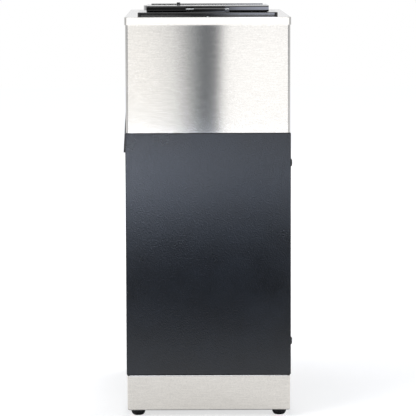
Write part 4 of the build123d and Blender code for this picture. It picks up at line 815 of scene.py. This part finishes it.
def screwTree(material):
    # on a shank, a cylinder cut to a dome by a flattened ball, then the driver slot
    tree, start, finish = newTree("slottedPanScrew")
    keys = {name: addInput(tree, name, "NodeSocketFloat", mm) for name in (
        "headRadius", "headHeight", "shankRadius", "shankLength", "slotWidth", "slotDepth")}
    size = start.outputs
    sums = {}
    for name in ("headUp", "shankDown", "domeReach", "slotLength", "slotHeight"):
        source, share = screwShape[name]
        sums[name] = addNode(tree, "ShaderNodeMath", {"operation": "MULTIPLY", "in:1": share}, {
            "0": size[source]}).outputs[0]
    moves = {name: addNode(tree, "ShaderNodeCombineXYZ", {}, {"Z": z}).outputs[0] for name, z in (
        ("head", sums["headUp"]), ("shank", sums["shankDown"]), ("slot", size["headHeight"]))}

    head = addNode(tree, "GeometryNodeMeshCylinder", {"in:Vertices": screwShape["headSides"]}, {
        "Radius": size["headRadius"], "Depth": size["headHeight"]}).outputs["Mesh"]
    head = addNode(tree, "GeometryNodeTransform", {}, {
        "Geometry": head, "Translation": moves["head"]}).outputs[0]
    ball = addNode(tree, "GeometryNodeMeshUVSphere", {
        "in:Segments": screwShape["ballSegments"], "in:Rings": screwShape["ballRings"],
        "in:Radius": 1.0}).outputs["Mesh"]
    ballScale = addNode(tree, "ShaderNodeCombineXYZ", {}, {
        "X": sums["domeReach"], "Y": sums["domeReach"], "Z": size["headHeight"]}).outputs[0]
    ball = addNode(tree, "GeometryNodeTransform", {}, {
        "Geometry": ball, "Scale": ballScale}).outputs[0]
    dome = addNode(tree, "GeometryNodeMeshBoolean", {"operation": "INTERSECT", "solver": "EXACT"})
    tree.links.new(head, dome.inputs["Mesh 2"])
    tree.links.new(ball, dome.inputs["Mesh 2"])
    slotSize = addNode(tree, "ShaderNodeCombineXYZ", {}, {
        "X": sums["slotLength"], "Y": size["slotWidth"], "Z": sums["slotHeight"]}).outputs[0]
    slot = addNode(tree, "GeometryNodeMeshCube", {}, {"Size": slotSize}).outputs["Mesh"]
    slot = addNode(tree, "GeometryNodeTransform", {}, {
        "Geometry": slot, "Translation": moves["slot"]}).outputs[0]
    slotted = addNode(tree, "GeometryNodeMeshBoolean", {
        "operation": "DIFFERENCE", "solver": "EXACT"}, {"Mesh 1": dome.outputs[0]})
    tree.links.new(slot, slotted.inputs["Mesh 2"])
    shank = addNode(tree, "GeometryNodeMeshCylinder", {
        "in:Vertices": screwShape["shankSides"]}, {
        "Radius": size["shankRadius"], "Depth": size["shankLength"]}).outputs["Mesh"]
    shank = addNode(tree, "GeometryNodeTransform", {}, {
        "Geometry": shank, "Translation": moves["shank"]}).outputs[0]
    whole = addNode(tree, "GeometryNodeJoinGeometry")
    tree.links.new(shank, whole.inputs[0])
    tree.links.new(slotted.outputs[0], whole.inputs[0])
    placeOnPoints(tree, start, finish, whole.outputs[0], material)
    return tree, keys


def buildScrews():
    for name, plan in screwPlan.items():
        low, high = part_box(plan["node"])
        radius, height = plan["headRadius"] * mm, plan["headHeight"] * mm
        if name == "coverScrews":
            y = (low.y + high.y) / 2
            places = [(low.x + height, y, z) for z in (high.z - radius, low.z + radius)]
        else:
            places = [(x, y, low.z + height) for x in (low.x + radius, high.x - radius) for y in (
                low.y + radius, high.y - radius)]
        tree, keys = screwTree(slotMaterial[plan["finish"]])
        spins = [math.radians(degrees) for degrees in plan["spins"]]
        piece = runTree(
            pointCloud(name, places, plan["facing"], spins), tree,
            {keys[key]: plan[key] * mm for key in keys})
        adopt(piece, "body", plan["finish"], plan["node"])
    print("stage: screws")


# Feet: turned rubber with a squeezed waist and a rounded tread

footPlan = {
    "profile": [  # radius and height, mm, from the hole's top outwards and down
        (2.15, 8.5), (7.8, 8.5), (8.45, 8.3), (8.7, 7.8), (8.75, 7.0), (8.75, 5.2), (8.6, 4.2),
        (8.3, 3.2), (7.8, 2.2), (7.15, 1.3), (6.5, 0.6), (5.9, 0.15), (5.5, 0.0), (4.9, 0.0),
        (4.5, 0.2), (4.35, 0.6), (4.3, 5.1), (2.15, 5.1)],
    "sides": 56,
}


def turnedLoop(shape, centre, profile, sides):
    # a closed profile of (radius, height) in mm, turned about an upright axis
    rings = []
    for step in range(sides):
        angle = 2 * math.pi * step / sides
        rings.append([shape.verts.new((
            centre[0] + r * mm * math.cos(angle), centre[1] + r * mm * math.sin(angle),
            centre[2] + z * mm)) for r, z in profile])
    count = len(profile)
    for step in range(sides):
        here, there = rings[step], rings[(step + 1) % sides]
        for i in range(count):
            j = (i + 1) % count
            shape.faces.new((here[i], there[i], there[j], here[j]))


def buildFeet():
    low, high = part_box("rubber_feet")
    reach = max(r for r, _ in footPlan["profile"]) * mm
    feet = bmesh.new()
    for x in (low.x + reach, high.x - reach):
        for y in (low.y + reach, high.y - reach):
            turnedLoop(feet, (x, y, 0), footPlan["profile"], footPlan["sides"])
    bmesh.ops.recalc_face_normals(feet, faces=feet.faces)
    adopt(smoothShade(meshObject("turnedFeet", feet)), "body", "rubber_black", "rubber_feet")
    print("stage: feet")


# Switch marks: a bar on each cap's upper half and a ring on its lower half, printed and very
# slightly raised, in mm

markPlan = {
    "caps": {
        "upper_rocker": "upper_switch", "brew_rocker": "brew_switch",
        "lower_rocker": "lower_switch"},
    "barHalf": (0.45, 2.3),    # half the width and half the length
    "ringOuter": 2.3,
    "ringInner": 1.55,
    "proud": 0.12,
    "sunk": 0.05,
    "sides": 36,
    "weld": 1e-7,    # metres between points that are one point
    # a point on each half of the cap's face and the way it looks, y and z
    "upperFace": ((-160.00, 448.17), (-0.973, -0.233)),
    "lowerFace": ((-158.60, 436.76), (-1.000, -0.010)),
    # opaque off-white printing ink, satin
    "ink": {
        "metallic": 0.0, "dark": "#D9D8D2", "light": "#E8E7E2", "rough": (0.40, 0.50),
        "cloud": 2.0, "bump": 0.02, "grain": 0.5},
}


def raisedOutline(shape, outer, inner, spot, out, x):
    # a flat outline on a face, with a top and a rim, and a hole if it has an inner outline
    up = (out[1], -out[0])

    def lifted(points, height):
        return [shape.verts.new((x + px * mm, *(
            (spot[i] + up[i] * pz + out[i] * height) * mm for i in (0, 1)))) for px, pz in points]
    sunk, proud = -markPlan["sunk"], markPlan["proud"]
    foot, top = lifted(outer, sunk), lifted(outer, proud)
    count = len(outer)
    pairs = [(i, (i + 1) % count) for i in range(count)]
    for i, j in pairs:
        shape.faces.new((foot[i], foot[j], top[j], top[i]))
    if not inner:
        shape.faces.new(top)
        shape.faces.new(foot[::-1])
        return
    innerFoot, innerTop = lifted(inner, sunk), lifted(inner, proud)
    for i, j in pairs:
        shape.faces.new((innerFoot[j], innerFoot[i], innerTop[i], innerTop[j]))
        shape.faces.new((top[i], top[j], innerTop[j], innerTop[i]))
        shape.faces.new((foot[j], foot[i], innerFoot[i], innerFoot[j]))


def buildMarks():
    ink = makeFinish("padPrintedInk", markPlan["ink"])
    width, length = markPlan["barHalf"]
    turns = [2 * math.pi * step / markPlan["sides"] for step in range(markPlan["sides"])]
    bar = [(width * math.cos(a), math.copysign(length - width, math.sin(a)) + width * math.sin(a))
           for a in turns]
    ring, hole = [[(radius * math.cos(a), radius * math.sin(a)) for a in turns] for radius in (
        markPlan["ringOuter"], markPlan["ringInner"])]
    for nodeName, body in markPlan["caps"].items():
        low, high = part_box(nodeName)
        middle = (low.x + high.x) / 2
        shape = bmesh.new()
        raisedOutline(shape, bar, None, *markPlan["upperFace"], middle)
        raisedOutline(shape, ring, hole, *markPlan["lowerFace"], middle)
        bmesh.ops.remove_doubles(shape, verts=shape.verts, dist=markPlan["weld"])
        bmesh.ops.recalc_face_normals(shape, faces=shape.faces)
        piece = meshObject(nodeName + "Marks", shape)
        piece.data.materials.append(ink)
        adopt(piece, body, "rocker_gloss")
    print("stage: switch marks")


# Grip ribs across the funnel's handle, in mm

ribPlan = {
    "count": 9,
    "gap": 4.2,    # from rib to rib
    "first": -208.0,    # the outermost rib's place along y
    "halfLength": 9.5,
    "radius": 0.9,
    "sink": 0.35,    # how deep each rib's middle lies under the handle's top
    "top": 341.6,
    "sides": 20,
    "rings": 8,
    "tipDetail": 3,
}


def buildRibs():
    tree, start, finish = newTree("handleRib")
    keys = {name: addInput(tree, name, "NodeSocketFloat", mm) for name in (
        "ribRadius", "ribLength")}
    size = start.outputs
    rod = addNode(tree, "GeometryNodeMeshCylinder", {
        "in:Vertices": ribPlan["sides"], "in:Side Segments": ribPlan["rings"]}, {
        "Radius": size["ribRadius"], "Depth": size["ribLength"]}).outputs["Mesh"]
    ball = addNode(tree, "GeometryNodeMeshIcoSphere", {"in:Subdivisions": ribPlan["tipDetail"]}, {
        "Radius": size["ribRadius"]}).outputs["Mesh"]
    whole = addNode(tree, "GeometryNodeMeshBoolean", {"operation": "UNION", "solver": "EXACT"})
    tree.links.new(rod, whole.inputs["Mesh 2"])
    for share in (0.5, -0.5):
        reach = addNode(tree, "ShaderNodeMath", {"operation": "MULTIPLY", "in:1": share}, {
            "0": size["ribLength"]})
        shift = addNode(tree, "ShaderNodeCombineXYZ", {}, {"Z": reach.outputs[0]})
        tip = addNode(tree, "GeometryNodeTransform", {}, {
            "Geometry": ball, "Translation": shift.outputs[0]})
        tree.links.new(tip.outputs[0], whole.inputs["Mesh 2"])
    slotName = slotOfNode["brew_funnel"]
    placeOnPoints(tree, start, finish, whole.outputs[0], slotMaterial[slotName])
    height = (ribPlan["top"] - ribPlan["sink"]) * mm
    places = [(0, (ribPlan["first"] + ribPlan["gap"] * i) * mm, height)
              for i in range(ribPlan["count"])]
    cloud = pointCloud("handleRibs", places, (1, 0, 0), [0.0] * len(places))
    ribs = runTree(cloud, tree, {
        keys["ribRadius"]: ribPlan["radius"] * mm,
        keys["ribLength"]: 2 * ribPlan["halfLength"] * mm})
    adopt(smoothShade(ribs), "funnel", slotName)
    print("stage: handle ribs")


# Bright bezel round the ready lamp, turned, with a rolled lip

bezelPlan = {
    "profile": [  # radius and distance out from the hood's front, mm
        (6.05, 0.0), (7.6, 0.0), (7.75, 0.35), (7.6, 0.9), (7.1, 1.35), (6.55, 1.5), (6.2, 1.35),
        (6.05, 1.0)],
    "sides": 56,
}


def buildBezel():
    low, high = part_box("ready_lamp")
    x, y, z = (low.x + high.x) / 2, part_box("head_hood")[0].y, (low.z + high.z) / 2
    shape = bmesh.new()
    turnedLoop(shape, (0, 0, 0), bezelPlan["profile"], bezelPlan["sides"])
    for vert in shape.verts:  # its axis from upwards to forwards
        vert.co = Vector((x + vert.co.x, y - vert.co.z, z + vert.co.y))
    bmesh.ops.recalc_face_normals(shape, faces=shape.faces)
    adopt(smoothShade(meshObject("lampBezel", shape)), "body", "zinc_steel")
    print("stage: lamp bezel")


buildSheets()
buildJointShadowStrips()
buildScrews()
buildFeet()
buildMarks()
buildRibs()
buildBezel()
